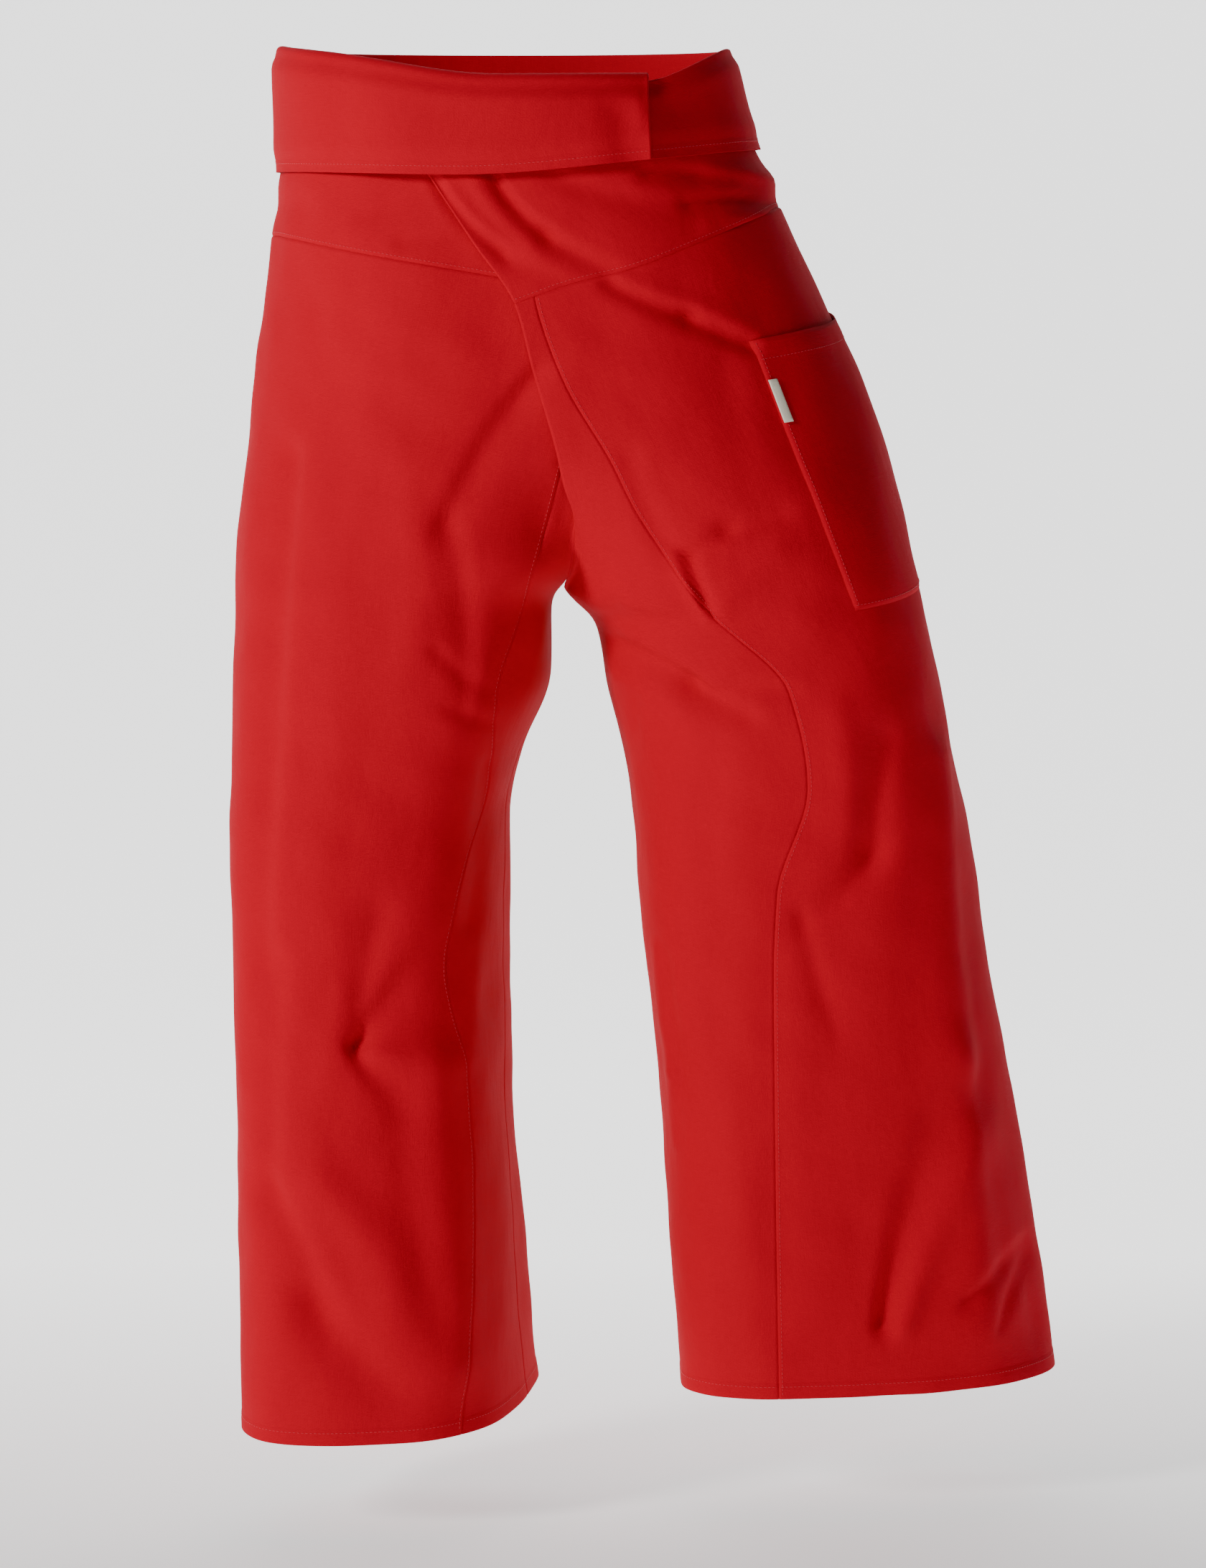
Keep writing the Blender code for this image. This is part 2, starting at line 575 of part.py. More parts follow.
def leg_piece(name, side, piece, steps):
    """One panel or inset of a leg, from the yoke seam to the hem."""
    share = np.linspace(0.0, 1.0, steps + 1)
    outside, inside = [], []
    for nominal in ROW_LEVELS:
        level = row_heights(side, piece, share, nominal)
        points = surface(side, piece, share, level)
        out = surface_normal(side, piece, share, level) * WALL / 2
        outside.append(points + out)
        inside.append(points - out)
    faces = [np.array(outside), np.array(inside)]
    if piece != "panel":
        faces = [mitre(side, piece, face) for face in faces]
    return wall(name, faces[0], faces[1], False, RED)


def mitre(side, piece, points):
    """Cut the walls' ends square at the centre back seam and at the inseam."""
    half = SEAM_GAP / 2
    x, y, z = points[..., 0], points[..., 1].copy(), points[..., 2]
    if piece == "inset_back":
        seam = column(PLEAT, PLEAT_COLUMNS, "back_seam", z)
        near = (z > CROTCH + MM) & (y > 0.0)
        kept = np.maximum(x, seam + half) if side == "left" else np.minimum(x, seam - half)
        x = np.where(near, kept, x)
    end = -1 if piece == "inset_back" else 0
    s = section(side, np.minimum(z[:, end], CROTCH))
    seam = ring_point(s, np.full((len(z), 1), np.pi))[1][:, 0]
    below = np.arange(len(z)) >= ROW_LEVELS.index(CROTCH)
    if piece == "inset_back":
        y[:, end] = np.where(below, np.maximum(y[:, end], seam + half), y[:, end])
    else:
        y[:, end] = np.where(below, np.minimum(y[:, end], seam - half), y[:, end])
    return np.stack([x, y, z], axis=-1)


def loop_direction(x, y, level):
    """Outward direction of the waist's loop without its pleat, level, at points on it.

    Over the pleat it is straight to the front, as the pleat's own layers are.
    """
    s = section("left", level)
    dx, dy = (x[:, None] - s["x"]) / s["a"], (y[:, None] - s["y"]) / s["b"]
    power = s["n"] - 1.0
    gx = np.sign(dx) * np.abs(dx) ** power / np.abs(s["a"])
    gy = np.sign(dy) * np.abs(dy) ** power / s["b"]
    size = np.hypot(gx, gy)
    square = smooth((PLEAT_REACH - np.abs(x[:, None])) / PLEAT_EASE) * (y[:, None] < 0.0)
    gx, gy = gx / size * (1.0 - square), gy / size * (1.0 - square) - square
    size = np.hypot(gx, gy)
    return np.concatenate([gx / size, gy / size, np.zeros_like(gx)], axis=1)


def standoff(depth):
    """Gap between yoke and fold-over at a depth below the top fold."""
    return FOLD_GAP + (TIE_ROOM - FOLD_GAP) * smooth(depth / TIE_ROOM_DEPTH)


def waistband():
    """Yoke and fold-over, one band of cloth with the pleat in it, folded out at the top."""
    pitch = PLEAT[0][4]
    grids, normals = [], []
    for side in ("left", "right"):
        total = MIDDLE_STEPS + TURN_STEPS + YOKE_STEPS
        share = np.linspace(0.0, 1.0, total + 1)
        seam = yoke_seam(side, "yoke", share)
        top = height_where(side, "yoke", share, fold_line)
        edge = height_where(side, "yoke", share, flap_edge)
        rows = []
        facing = []
        for r in range(YOKE_ROWS + 1):
            level = seam + (top - seam) * r / YOKE_ROWS
            rows.append(surface(side, "yoke", share, level))
            facing.append(surface_normal(side, "yoke", share, level))
        normals.append(np.array(facing))
        at_top = rows[-1]
        loop, distance = distances(side, "yoke", share, top)
        layer = pick(loop, "layer", distance)[:, None]
        out = loop_direction(at_top[:, 0], at_top[:, 1], top)
        up = np.array([0.0, 0.0, 1.0])
        radius = FOLD_GAP / 2 + layer * pitch
        for r in range(1, ARC_ROWS):
            turn = math.pi * r / ARC_ROWS
            rows.append(at_top + out * (layer * pitch + FOLD_GAP / 2 - radius * math.cos(turn))
                        + up * radius * math.sin(turn))
        for r in range(FLAP_ROWS + 1):
            level = top + (edge - top) * r / FLAP_ROWS
            base = surface(side, "yoke", share, level)
            loop, distance = distances(side, "yoke", share, level)
            layer = pick(loop, "layer", distance)[:, None]
            out = loop_direction(base[:, 0], base[:, 1], level)
            off = standoff(top - level)[:, None] + 2.0 * layer * pitch
            rows.append(base + out * off)
        grids.append(np.array(rows))
    grid = np.concatenate([grids[0][:, :-1], grids[1][:, :0:-1]], axis=1)
    normal = grid_normals(grid)
    yoke = np.concatenate([normals[0][:, :-1], normals[1][:, :0:-1]], axis=1)
    normal[:YOKE_ROWS] = yoke[:YOKE_ROWS]
    half = WALL / 2
    return wall("waistband", grid + normal * half, grid - normal * half, True, RED)


def grid_normals(grid):
    """Normals of a grid that is closed across its columns."""
    across = np.roll(grid, -1, axis=1) - np.roll(grid, 1, axis=1)
    down = np.gradient(grid, axis=0)
    normal = np.cross(across, down)
    return normal / np.linalg.norm(normal, axis=-1, keepdims=True)


def pocket_edge(level):
    """X of the pocket's front edge."""
    share = (level - POCKET_TOP) / (POCKET_BOTTOM - POCKET_TOP)
    return POCKET_TOP_X + (POCKET_BOTTOM_X - POCKET_TOP_X) * share


def laid_piece(name, top, bottom, start, width, rise, lift, thick, rows, cols, colour):
    """A patch on the left leg panel, made from its points moved out by lift."""
    outside, inside = [], []
    across = np.linspace(0.0, 1.0, cols + 1)
    for r in range(rows + 1):
        front_edge = top + (bottom - top) * r / rows
        level = front_edge + rise * width * across
        loop = measure("left", level)
        goal = pocket_edge(np.full_like(level, front_edge))
        distance = reach_x("left", loop, goal, "front") + start + width * across
        seam, back = seam_ends("left", loop, level)
        seam, back = seam + SEAM_GAP / 2, back - SEAM_GAP / 2
        share = (distance - seam) / (back - seam)
        points = surface("left", "panel", share, level)
        out = surface_normal("left", "panel", share, level)
        outside.append(points + out * (lift + thick))
        inside.append(points + out * lift)
    return wall(name, np.array(outside), np.array(inside), False, colour)


def tie(name, side, lift, steps):
    """A flat tie from the centre back round one side and past the middle of the front."""
    sign = 1.0 if side == "left" else -1.0
    outside, inside = [], []
    for edge in (TIE_WIDTH / 2, -TIE_WIDTH / 2):
        level = np.full(steps + 1, TIE_MIDDLE + edge)
        s = section("left", level)
        middle = s["x"] * 0.0
        begin = ring_angle(s, middle + sign * 0.001)
        end = ring_angle(s, middle - sign * TIE_END)
        if side == "left":
            angle = begin + (-end - begin) * np.linspace(0.0, 1.0, steps + 1)[:, None]
        else:
            angle = begin + (2.0 * math.pi - end - begin) * np.linspace(0.0, 1.0, steps + 1)[:, None]
        x, y = ring_point(s, angle)
        points = np.concatenate([x, y, level[:, None]], axis=1)
        out = loop_direction(x[:, 0], y[:, 0], level)
        outside.append(points + out * (lift + WALL))
        inside.append(points + out * lift)
    return wall(name, np.array(outside), np.array(inside), False, RED)


def main():
    for obj in list(bpy.data.objects):
        bpy.data.objects.remove(obj, do_unlink=True)
    waistband()
    for side in ("right", "left"):
        leg_piece(f"leg_panel_{side}", side, "panel", PANEL_STEPS)
        leg_piece(f"inset_front_{side}", side, "inset_front",
                  MIDDLE_STEPS + TURN_STEPS + INSET_FRONT_STEPS)
        leg_piece(f"inset_back_{side}", side, "inset_back", INSET_BACK_STEPS)
    on_panel = WALL / 2 + LAID_GAP
    laid_piece("pocket", POCKET_TOP, POCKET_BOTTOM, 0.0, POCKET_WIDTH, POCKET_RISE,
               on_panel, WALL, 9, 14, RED)
    on_pocket = on_panel + WALL + LAID_GAP
    laid_piece("label", LABEL_TOP, LABEL_BOTTOM, 0.5 * MM, LABEL_WIDTH, POCKET_RISE,
               on_pocket, LABEL_WALL, 4, 2, CREAM)
    near = WALL / 2 + LAID_GAP
    tie("tie_left", "left", near, 40)
    tie("tie_right", "right", near + WALL + LAID_GAP, 40)


main()
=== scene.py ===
"""Looks of the Thai fisherman pants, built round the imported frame.

Every piece of cloth is a thin shell on the same surface as its solid, with the creases, hems
and stitches added. Lengths are in metres, +X is the wearer's left, -Y the front, +Z up.
"""
import math

import bpy
import numpy as np
from bpy.props import FloatProperty, FloatVectorProperty, PointerProperty
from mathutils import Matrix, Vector


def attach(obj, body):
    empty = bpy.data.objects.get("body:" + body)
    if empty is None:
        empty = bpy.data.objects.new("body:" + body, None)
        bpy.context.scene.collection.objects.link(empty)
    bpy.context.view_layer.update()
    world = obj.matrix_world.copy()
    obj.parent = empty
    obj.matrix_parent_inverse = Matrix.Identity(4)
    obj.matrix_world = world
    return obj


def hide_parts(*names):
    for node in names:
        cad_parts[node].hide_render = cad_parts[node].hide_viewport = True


bl_info = {
    "name": "Fisherman Pants Looks",
    "version": (1, 0, 0),
    "blender": (4, 5, 0),
    "location": "View3D > Sidebar > Pants",
    "description": "Builds the cloth, stitches and studio of a pair of wrap trousers",
    "category": "Object",
}

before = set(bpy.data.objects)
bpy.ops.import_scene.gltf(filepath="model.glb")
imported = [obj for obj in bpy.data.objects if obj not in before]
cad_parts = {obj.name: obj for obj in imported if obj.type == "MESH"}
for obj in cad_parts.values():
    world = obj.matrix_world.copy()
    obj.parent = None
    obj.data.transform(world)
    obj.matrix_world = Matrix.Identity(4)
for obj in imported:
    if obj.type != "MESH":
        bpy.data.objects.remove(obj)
for loaded in bpy.context.selected_objects:
    loaded.select_set(False)
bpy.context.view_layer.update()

MM = 0.001
WALL = 1.2 * MM              # thickness of the solid
LAID_GAP = 0.7 * MM          # between a panel's solid and what is sewn flat on it
CROTCH = -0.360              # level where the two legs part

# The level sections of one half, each a superellipse leaning to one side.
# level: height; outer, inner: X of its two sides; front, back: Y of its two faces;
# squareness: exponent; lean: shear of X with Y; tilt: shear of Y with X.
SECTION_COLUMNS = ("level", "outer", "inner", "front", "back", "squareness", "lean", "tilt")
RIGHT_SECTIONS = (
    (0.060, -0.165, 0.158, -0.116, 0.116, 2.30, 0.00, 0.00),
    (0.000, -0.167, 0.170, -0.119, 0.121, 2.30, 0.00, 0.00),
    (-0.050, -0.170, 0.191, -0.121, 0.126, 2.30, 0.00, 0.00),
    (-0.100, -0.178, 0.213, -0.124, 0.132, 2.30, 0.00, 0.00),
    (-0.150, -0.184, 0.237, -0.126, 0.136, 2.30, 0.00, 0.00),
    (-0.200, -0.190, 0.230, -0.127, 0.137, 2.30, 0.00, 0.00),
    (-0.250, -0.195, 0.170, -0.127, 0.136, 2.30, 0.00, 0.00),
    (-0.300, -0.201, 0.110, -0.126, 0.134, 2.30, 0.00, 0.00),
    (-0.335, -0.204, 0.076, -0.125, 0.131, 2.30, 0.00, 0.00),
    (-0.352, -0.205, 0.050, -0.125, 0.130, 2.30, 0.00, 0.00),
    (-0.360, -0.205, 0.0325, -0.124, 0.130, 2.30, 0.00, 0.00),
    (-0.420, -0.206, 0.030, -0.122, 0.124, 2.45, 0.03, 0.00),
    (-0.485, -0.206, 0.006, -0.120, 0.119, 2.50, 0.08, 0.02),
    (-0.530, -0.206, -0.004, -0.118, 0.115, 2.55, 0.12, 0.04),
    (-0.620, -0.204, -0.005, -0.115, 0.110, 2.60, 0.15, 0.06),
    (-0.730, -0.201, -0.005, -0.112, 0.108, 2.70, 0.18, 0.08),
    (-0.840, -0.198, 0.002, -0.111, 0.109, 2.80, 0.20, 0.08),
    (-1.000, -0.193, 0.014, -0.111, 0.112, 2.90, 0.24, 0.08),
)
LEFT_SECTIONS = (
    (0.060, 0.158, -0.165, -0.116, 0.116, 2.30, 0.00, 0.00),
    (0.000, 0.170, -0.167, -0.119, 0.121, 2.30, 0.00, 0.00),
    (-0.050, 0.191, -0.170, -0.121, 0.126, 2.30, 0.00, 0.00),
    (-0.100, 0.213, -0.178, -0.124, 0.132, 2.30, 0.00, 0.00),
    (-0.150, 0.237, -0.184, -0.126, 0.136, 2.30, 0.00, 0.00),
    (-0.200, 0.262, -0.160, -0.128, 0.138, 2.30, 0.00, 0.00),
    (-0.250, 0.280, -0.090, -0.128, 0.138, 2.30, 0.00, 0.00),
    (-0.300, 0.294, -0.003, -0.126, 0.136, 2.30, 0.00, 0.00),
    (-0.335, 0.302, 0.029, -0.125, 0.133, 2.30, 0.00, 0.00),
    (-0.352, 0.306, 0.0365, -0.124, 0.131, 2.30, 0.00, 0.00),
    (-0.360, 0.308, 0.0345, -0.123, 0.131, 2.30, 0.00, 0.00),
    (-0.377, 0.312, 0.063, -0.120, 0.130, 2.30, 0.00, 0.00),
    (-0.430, 0.324, 0.073, -0.113, 0.130, 2.30, 0.00, 0.02),
    (-0.485, 0.335, 0.087, -0.104, 0.131, 2.30, 0.00, 0.05),
    (-0.540, 0.347, 0.094, -0.095, 0.133, 2.35, 0.00, 0.08),
    (-0.620, 0.359, 0.100, -0.084, 0.136, 2.40, 0.00, 0.12),
    (-0.730, 0.380, 0.113, -0.066, 0.140, 2.45, 0.00, 0.17),
    (-0.840, 0.401, 0.121, -0.048, 0.144, 2.50, 0.00, 0.21),
    (-1.000, 0.426, 0.133, -0.030, 0.148, 2.60, 0.00, 0.25),
)
# The Z-pleat. outer_fold: X of the fold that shows, where the wearer's left half starts;
# inner_fold: X of the hidden fold, where the right half starts; back_seam: X of the centre
# back seam; pitch: depth from one layer of cloth to the next.
PLEAT_COLUMNS = ("level", "outer_fold", "inner_fold", "back_seam", "pitch")
PLEAT = (
    (0.060, -0.118, 0.100, -0.0035, 0.0030),
    (0.000, -0.088, 0.101, 0.0015, 0.0030),
    (-0.050, -0.056, 0.103, 0.0105, 0.0030),
    (-0.100, -0.023, 0.103, 0.0180, 0.0030),
    (-0.144, 0.007, 0.100, 0.0260, 0.0030),
    (-0.195, 0.021, 0.082, 0.0350, 0.0031),
    (-0.252, 0.038, 0.064, 0.0420, 0.0042),
    (-0.280, 0.044, 0.056, 0.0490, 0.0056),
    (-0.300, 0.048, 0.050, 0.0520, 0.0056),
    (-0.335, 0.0515, 0.0435, 0.0520, 0.0026),
    (-0.352, 0.0450, 0.0395, 0.0440, 0.0012),
    (-0.360, 0.0345, 0.0325, 0.0335, 0.0006),
    (-1.000, 0.0345, 0.0325, 0.0335, 0.0006),
)
PLEAT_END = -0.303           # level where the pleat has opened out
PLEAT_OPENING = 0.020        # height over which it opens
PLEAT_REACH, PLEAT_EASE = 0.150, 0.035   # half width over which the layers lie square
HELD_END, HELD_HEIGHT = -0.350, 0.040   # where the right half stops following the left one
OVERLAP_EASE = 0.100         # length over which the right half sinks under the left one

# X of the seam between each leg panel and its front inset, by height.
SEAM_COLUMNS = ("level", "right", "left")
FRONT_SEAMS = (
    (-0.080, 0.092, 0.010),
    (-0.144, 0.078, 0.021),
    (-0.200, 0.058, 0.041),
    (-0.258, 0.041, 0.075),
    (-0.300, 0.030, 0.096),
    (-0.368, 0.010, 0.146),
    (-0.426, -0.005, 0.205),
    (-0.500, -0.012, 0.220),
    (-0.580, -0.036, 0.198),
    (-0.638, -0.044, 0.196),
    (-0.713, -0.032, 0.197),
    (-0.821, -0.027, 0.199),
    (-1.000, -0.037, 0.203),
)
# The same for the back insets.
BACK_SEAMS = (
    (-0.080, -0.012, 0.040),
    (-0.144, -0.010, 0.062),
    (-0.200, -0.008, 0.082),
    (-0.258, -0.012, 0.108),
    (-0.300, -0.018, 0.130),
    (-0.368, -0.032, 0.168),
    (-0.430, -0.045, 0.190),
    (-0.600, -0.060, 0.205),
    (-0.800, -0.055, 0.222),
    (-1.000, -0.040, 0.235),
)
# Heights round the waist by X: the seam under the yoke, and the top fold and free edge of
# the fold-over.
YOKE_FRONT_RIGHT = ((-0.172, -0.095), (-0.100, -0.109), (-0.017, -0.123), (0.100, -0.1435))
YOKE_FRONT_LEFT = ((0.007, -0.1435), (0.049, -0.129), (0.090, -0.119), (0.145, -0.098),
                   (0.199, -0.074))
YOKE_BACK = ((-0.172, -0.095), (0.000, -0.088), (0.199, -0.074))
YOKE_UNDER_PLEAT = -0.1435
FOLD_FRONT = ((-0.165, 0.040), (-0.100, 0.026), (-0.009, 0.014), (0.098, 0.015), (0.160, 0.041))
FOLD_BACK = 0.041
EDGE_FRONT = ((-0.165, -0.048), (-0.035, -0.051), (0.103, -0.040), (0.183, -0.031))
EDGE_BACK = ((-0.165, -0.048), (0.183, -0.031))

# The fold-over stands off the yoke by a gap that is small at the top fold and holds the
# ties lower down.
FOLD_GAP = 2.6 * MM
TIE_ROOM = 6.6 * MM
TIE_ROOM_DEPTH = 12 * MM
TIE_WIDTH = 24 * MM
TIE_MIDDLE = -16 * MM        # height of the ties' middle line
TIE_END = 0.035              # how far each tie passes the middle of the front
TIE_LIFTS = (("left", 1.0, 1.3 * MM), ("right", -1.0, 3.2 * MM))   # side, sign of X, lift

HEM_LEVEL = {"right": -0.977, "left": -0.967}
HEM_RISE = {"right": 0.10, "left": 0.02}     # rise of the hem per metre to the back

# The patch pocket on the wearer's left leg, and the small blank label in its edge.
POCKET_TOP, POCKET_BOTTOM = -0.171, -0.368   # levels of the ends of its front edge
POCKET_TOP_X, POCKET_BOTTOM_X = 0.177, 0.254
POCKET_WIDTH = 0.160
POCKET_RISE = 0.13           # rise of its top and bottom edges per metre to the back
LABEL_TOP, LABEL_BOTTOM = -0.200, -0.231
LABEL_WIDTH = 7.5 * MM
POCKET_LIFT = WALL / 2 + LAID_GAP + 0.25 * MM
POCKET_HEM, POCKET_HEM_ROW = 15 * MM, 4
POCKET_HEM_RAISE, POCKET_HEM_STEP = 0.6 * MM, 2.5 * MM
POCKET_RIM, POCKET_RIM_WIDTH = 0.7 * MM, 1.1 * MM        # how its edges lie down
POCKET_MOUTH, POCKET_MOUTH_DEPTH = 1.3 * MM, 20 * MM     # how its top stands open
LABEL_LIFT, LABEL_CROWN = POCKET_LIFT + 1.3 * MM, 0.5 * MM
LABEL_THIN = 0.8             # its thickness as a share of the cloth's

# Mesh density.
CURVE_STEPS = 300
PANEL_COLUMNS, INSET_COLUMNS, YOKE_COLUMNS = 118, 26, 150
MIDDLE_COLUMNS, TURN_COLUMNS = 8, 12
ROWS_ABOVE, ROWS_BELOW = 62, 150
YOKE_ROWS, ARC_ROWS, FLAP_ROWS = 26, 10, 18
TIE_ROWS, TIE_COLUMNS = 5, 90
POCKET_ROWS, POCKET_COLUMNS = 56, 40
LABEL_ROWS, LABEL_COLUMNS = 12, 6
MIDDLE_POINTS, TURN_POINTS = 9, 11


def smooth(t):
    """0 below 0, 1 above 1, with no corner between."""
    t = np.clip(t, 0.0, 1.0)
    return t * t * (3.0 - 2.0 * t)


def curve_through(xs, ys, x):
    """A smooth curve through points with rising xs that never overshoots them."""
    xs, ys = np.asarray(xs, float), np.asarray(ys, float)
    step = np.diff(xs)
    slope = np.diff(ys) / step
    tangent = np.zeros(len(xs))
    tangent[0], tangent[-1] = slope[0], slope[-1]
    same = slope[:-1] * slope[1:] > 0.0
    harmonic = 2.0 * slope[:-1] * slope[1:] / np.where(same, slope[:-1] + slope[1:], 1.0)
    tangent[1:-1] = np.where(same, harmonic, 0.0)
    x = np.clip(x, xs[0], xs[-1])
    i = np.clip(np.searchsorted(xs, x) - 1, 0, len(step) - 1)
    h, t = step[i], (x - xs[i]) / step[i]
    return (ys[i] * (1 + 2 * t) * (1 - t) ** 2 + tangent[i] * h * t * (1 - t) ** 2
            + ys[i + 1] * t * t * (3 - 2 * t) + tangent[i + 1] * h * t * t * (t - 1))


def column(table, names, name, level):
    """One column of a table by level, read as a smooth curve."""
    rows = table[::-1]
    k = names.index(name)
    return curve_through([r[0] for r in rows], [r[k] for r in rows], level)


def along(points, x):
    """Height of a line at X."""
    return curve_through([p[0] for p in points], [p[1] for p in points], x)


def section(side, level):
    """Middle, half sizes and shears of one half's section, as columns of arrays."""
    table = RIGHT_SECTIONS if side == "right" else LEFT_SECTIONS
    outer, inner, front, back, power, lean, tilt = (
        column(table, SECTION_COLUMNS, name, level)[:, None] for name in SECTION_COLUMNS[1:])
    return {"x": (outer + inner) / 2, "a": (outer - inner) / 2, "y": (front + back) / 2,
            "b": (back - front) / 2, "n": power, "lean": lean, "tilt": tilt}


def pleat(name, level):
    """One column of the pleat's table, by level."""
    return column(PLEAT, PLEAT_COLUMNS, name, level)[:, None]


def front_face(s, x):
    """Y of the front of a section at X, above the crotch."""
    u = np.clip(np.abs((x - s["x"]) / s["a"]), 0.0, 1.0)
    return s["y"] - s["b"] * (1.0 - u ** s["n"]) ** (1.0 / s["n"])


def ring_angle(s, x):
    """Angle from the outer side at which a section reaches X."""
    u = np.clip((x - s["x"]) / s["a"], -1.0, 1.0)
    return np.arccos(np.sign(u) * np.abs(u) ** (s["n"] / 2.0))


def ring_point(s, angle):
    """X and Y of a section at an angle from its outer side."""
    c, d = np.cos(angle), np.sin(angle)
    x = s["a"] * np.sign(c) * np.abs(c) ** (2.0 / s["n"])
    y = s["b"] * np.sign(d) * np.abs(d) ** (2.0 / s["n"])
    return s["x"] + x + s["lean"] * y, s["y"] + y + s["tilt"] * x


def half_curve(side, level):
    """Loop of one half at each level, from the hidden front seam to the back seam.

    Gives x, y and layer (how many layers lie outside it, 0 to 2).
    """
    level = np.asarray(level, float)
    own, left, right = section(side, level), section("left", level), section("right", level)
    fold_l, fold_r = pleat("outer_fold", level), pleat("inner_fold", level)
    pitch, back_x = pleat("pitch", level), pleat("back_seam", level)
    start_x = fold_l if side == "left" else fold_r
    above = (level > CROTCH)[:, None]
    begin = np.where(above, -ring_angle(own, start_x), -np.pi)
    end = np.where(above, ring_angle(own, back_x), np.pi)
    t = np.linspace(0.0, 1.0, CURVE_STEPS + 1)[None, :]
    angle = begin + (end - begin) * t
    x, y = ring_point(own, angle)

    # Both halves meet at one centre back seam.
    back_y = {}
    for name, s in (("left", left), ("right", right)):
        back_y[name] = ring_point(s, ring_angle(s, back_x))[1]
    meet = (back_y["left"] + back_y["right"]) / 2
    y = y + np.where(above, meet - y[:, -1:], 0.0) * smooth((t - 0.65) / 0.35)

    # The right half lies two layers under the left one where they overlap.
    width = fold_r - fold_l
    held = np.where(above, smooth((level - HELD_END) / HELD_HEIGHT)[:, None], 0.0)
    layer = np.zeros_like(x)
    shift = front_face(left, fold_l) + 2.0 * pitch - front_face(right, fold_l)

    def sunk(x, y):
        """Y of the right half's front where it lies under the left one, and how far it does."""
        under = smooth((x - (fold_l - OVERLAP_EASE)) / OVERLAP_EASE) * held
        beneath = np.where(x > fold_l, front_face(left, x) + 2.0 * pitch, y + shift)
        return y + under * (beneath - y), under

    if side == "right":
        lower_y, under = sunk(x, y)
        y = np.where(angle < 0.0, lower_y, y)
        layer = np.where(angle < 0.0, 2.0 * under, 0.0)

    # The hidden middle layer from the front seam, and the turn of the fold.
    left_y = front_face(left, fold_l)
    right_y = sunk(fold_r, ring_point(right, -ring_angle(right, fold_r))[1])[0]
    share = np.linspace(0.5, 1.0 if side == "right" else 0.0, MIDDLE_POINTS)[None, :]
    mid_x = fold_l + share * width
    mid_y = front_face(left, mid_x) + pitch
    if side == "left":
        turn = np.linspace(0.5, 1.5, TURN_POINTS + 2)[None, 1:-1] * np.pi
        turn_x = fold_l + pitch / 2 * np.cos(turn)
        turn_y = left_y + pitch / 2 + pitch / 2 * np.sin(turn)
        turn_layer = 0.5 + 0.5 * np.sin(turn)
    else:
        turn = np.linspace(-0.5, 0.5, TURN_POINTS + 2)[None, 1:-1] * np.pi
        turn_x = fold_r + pitch / 2 * np.cos(turn)
        turn_y = right_y - pitch / 2 + pitch / 2 * np.sin(turn)
        turn_layer = 1.5 + 0.5 * np.sin(turn)
    # Lower down the pleat opens out to a plain link between the halves.
    bridge_x = np.concatenate([mid_x, turn_x], axis=1)
    bridge_y = np.concatenate([mid_y, turn_y], axis=1)
    plain = np.linspace(0.0, 1.0, bridge_x.shape[1])[None, :]
    left_xy = ring_point(left, -ring_angle(left, fold_l))
    centre_x = (fold_l + fold_r) / 2
    centre_y = (left_xy[1] + right_y) / 2
    plain_x = centre_x + plain * (x[:, :1] - centre_x)
    plain_y = centre_y + plain * (y[:, :1] - centre_y)
    folded = smooth((level - PLEAT_END) / PLEAT_OPENING)[:, None]
    bridge_x = plain_x + folded * (bridge_x - plain_x)
    bridge_y = plain_y + folded * (bridge_y - plain_y)
    bridge_x = np.where(above, bridge_x, x[:, :1])
    bridge_y = np.where(above, bridge_y, y[:, :1])

    full_x = np.concatenate([bridge_x, x], axis=1)
    full_y = np.concatenate([bridge_y, y], axis=1)
    full_layer = np.concatenate([np.ones_like(mid_x), turn_layer + np.zeros_like(turn_x), layer],
                                axis=1)
    return full_x, full_y, full_layer


def measure(side, level):
    """The loop with its running length and the lengths of its stretches."""
    x, y, layer = half_curve(side, level)
    run = np.zeros_like(x)
    run[:, 1:] = np.cumsum(np.hypot(np.diff(x, axis=1), np.diff(y, axis=1)), axis=1)
    first = MIDDLE_POINTS + TURN_POINTS
    return {"x": x, "y": y, "layer": layer, "run": run, "middle": run[:, MIDDLE_POINTS - 1],
            "start": run[:, first], "total": run[:, -1]}


def reach_x(side, loop, goals, face):
    """Distance at which the front or the back of a loop reaches an X."""
    first = MIDDLE_POINTS + TURN_POINTS
    sign = 1.0 if side == "left" else -1.0
    found = []
    for x, run, goal in zip(loop["x"], loop["run"], goals):
        xs = sign * x[first:]
        tip = int(np.argmax(xs)) + 1
        if face == "front":
            rising = np.maximum.accumulate(xs[:tip])
            found.append(np.interp(sign * goal, rising, run[first:first + tip]))
        else:
            rising = np.maximum.accumulate(xs[tip - 1:][::-1])
            found.append(np.interp(sign * goal, rising, run[first + tip - 1:][::-1]))
    return np.array(found)


def seam_ends(side, loop, level):
    """Distances of the two seams of a leg panel."""
    front = column(FRONT_SEAMS, SEAM_COLUMNS, side, level)
    back = column(BACK_SEAMS, SEAM_COLUMNS, side, level)
    return reach_x(side, loop, front, "front"), reach_x(side, loop, back, "back")


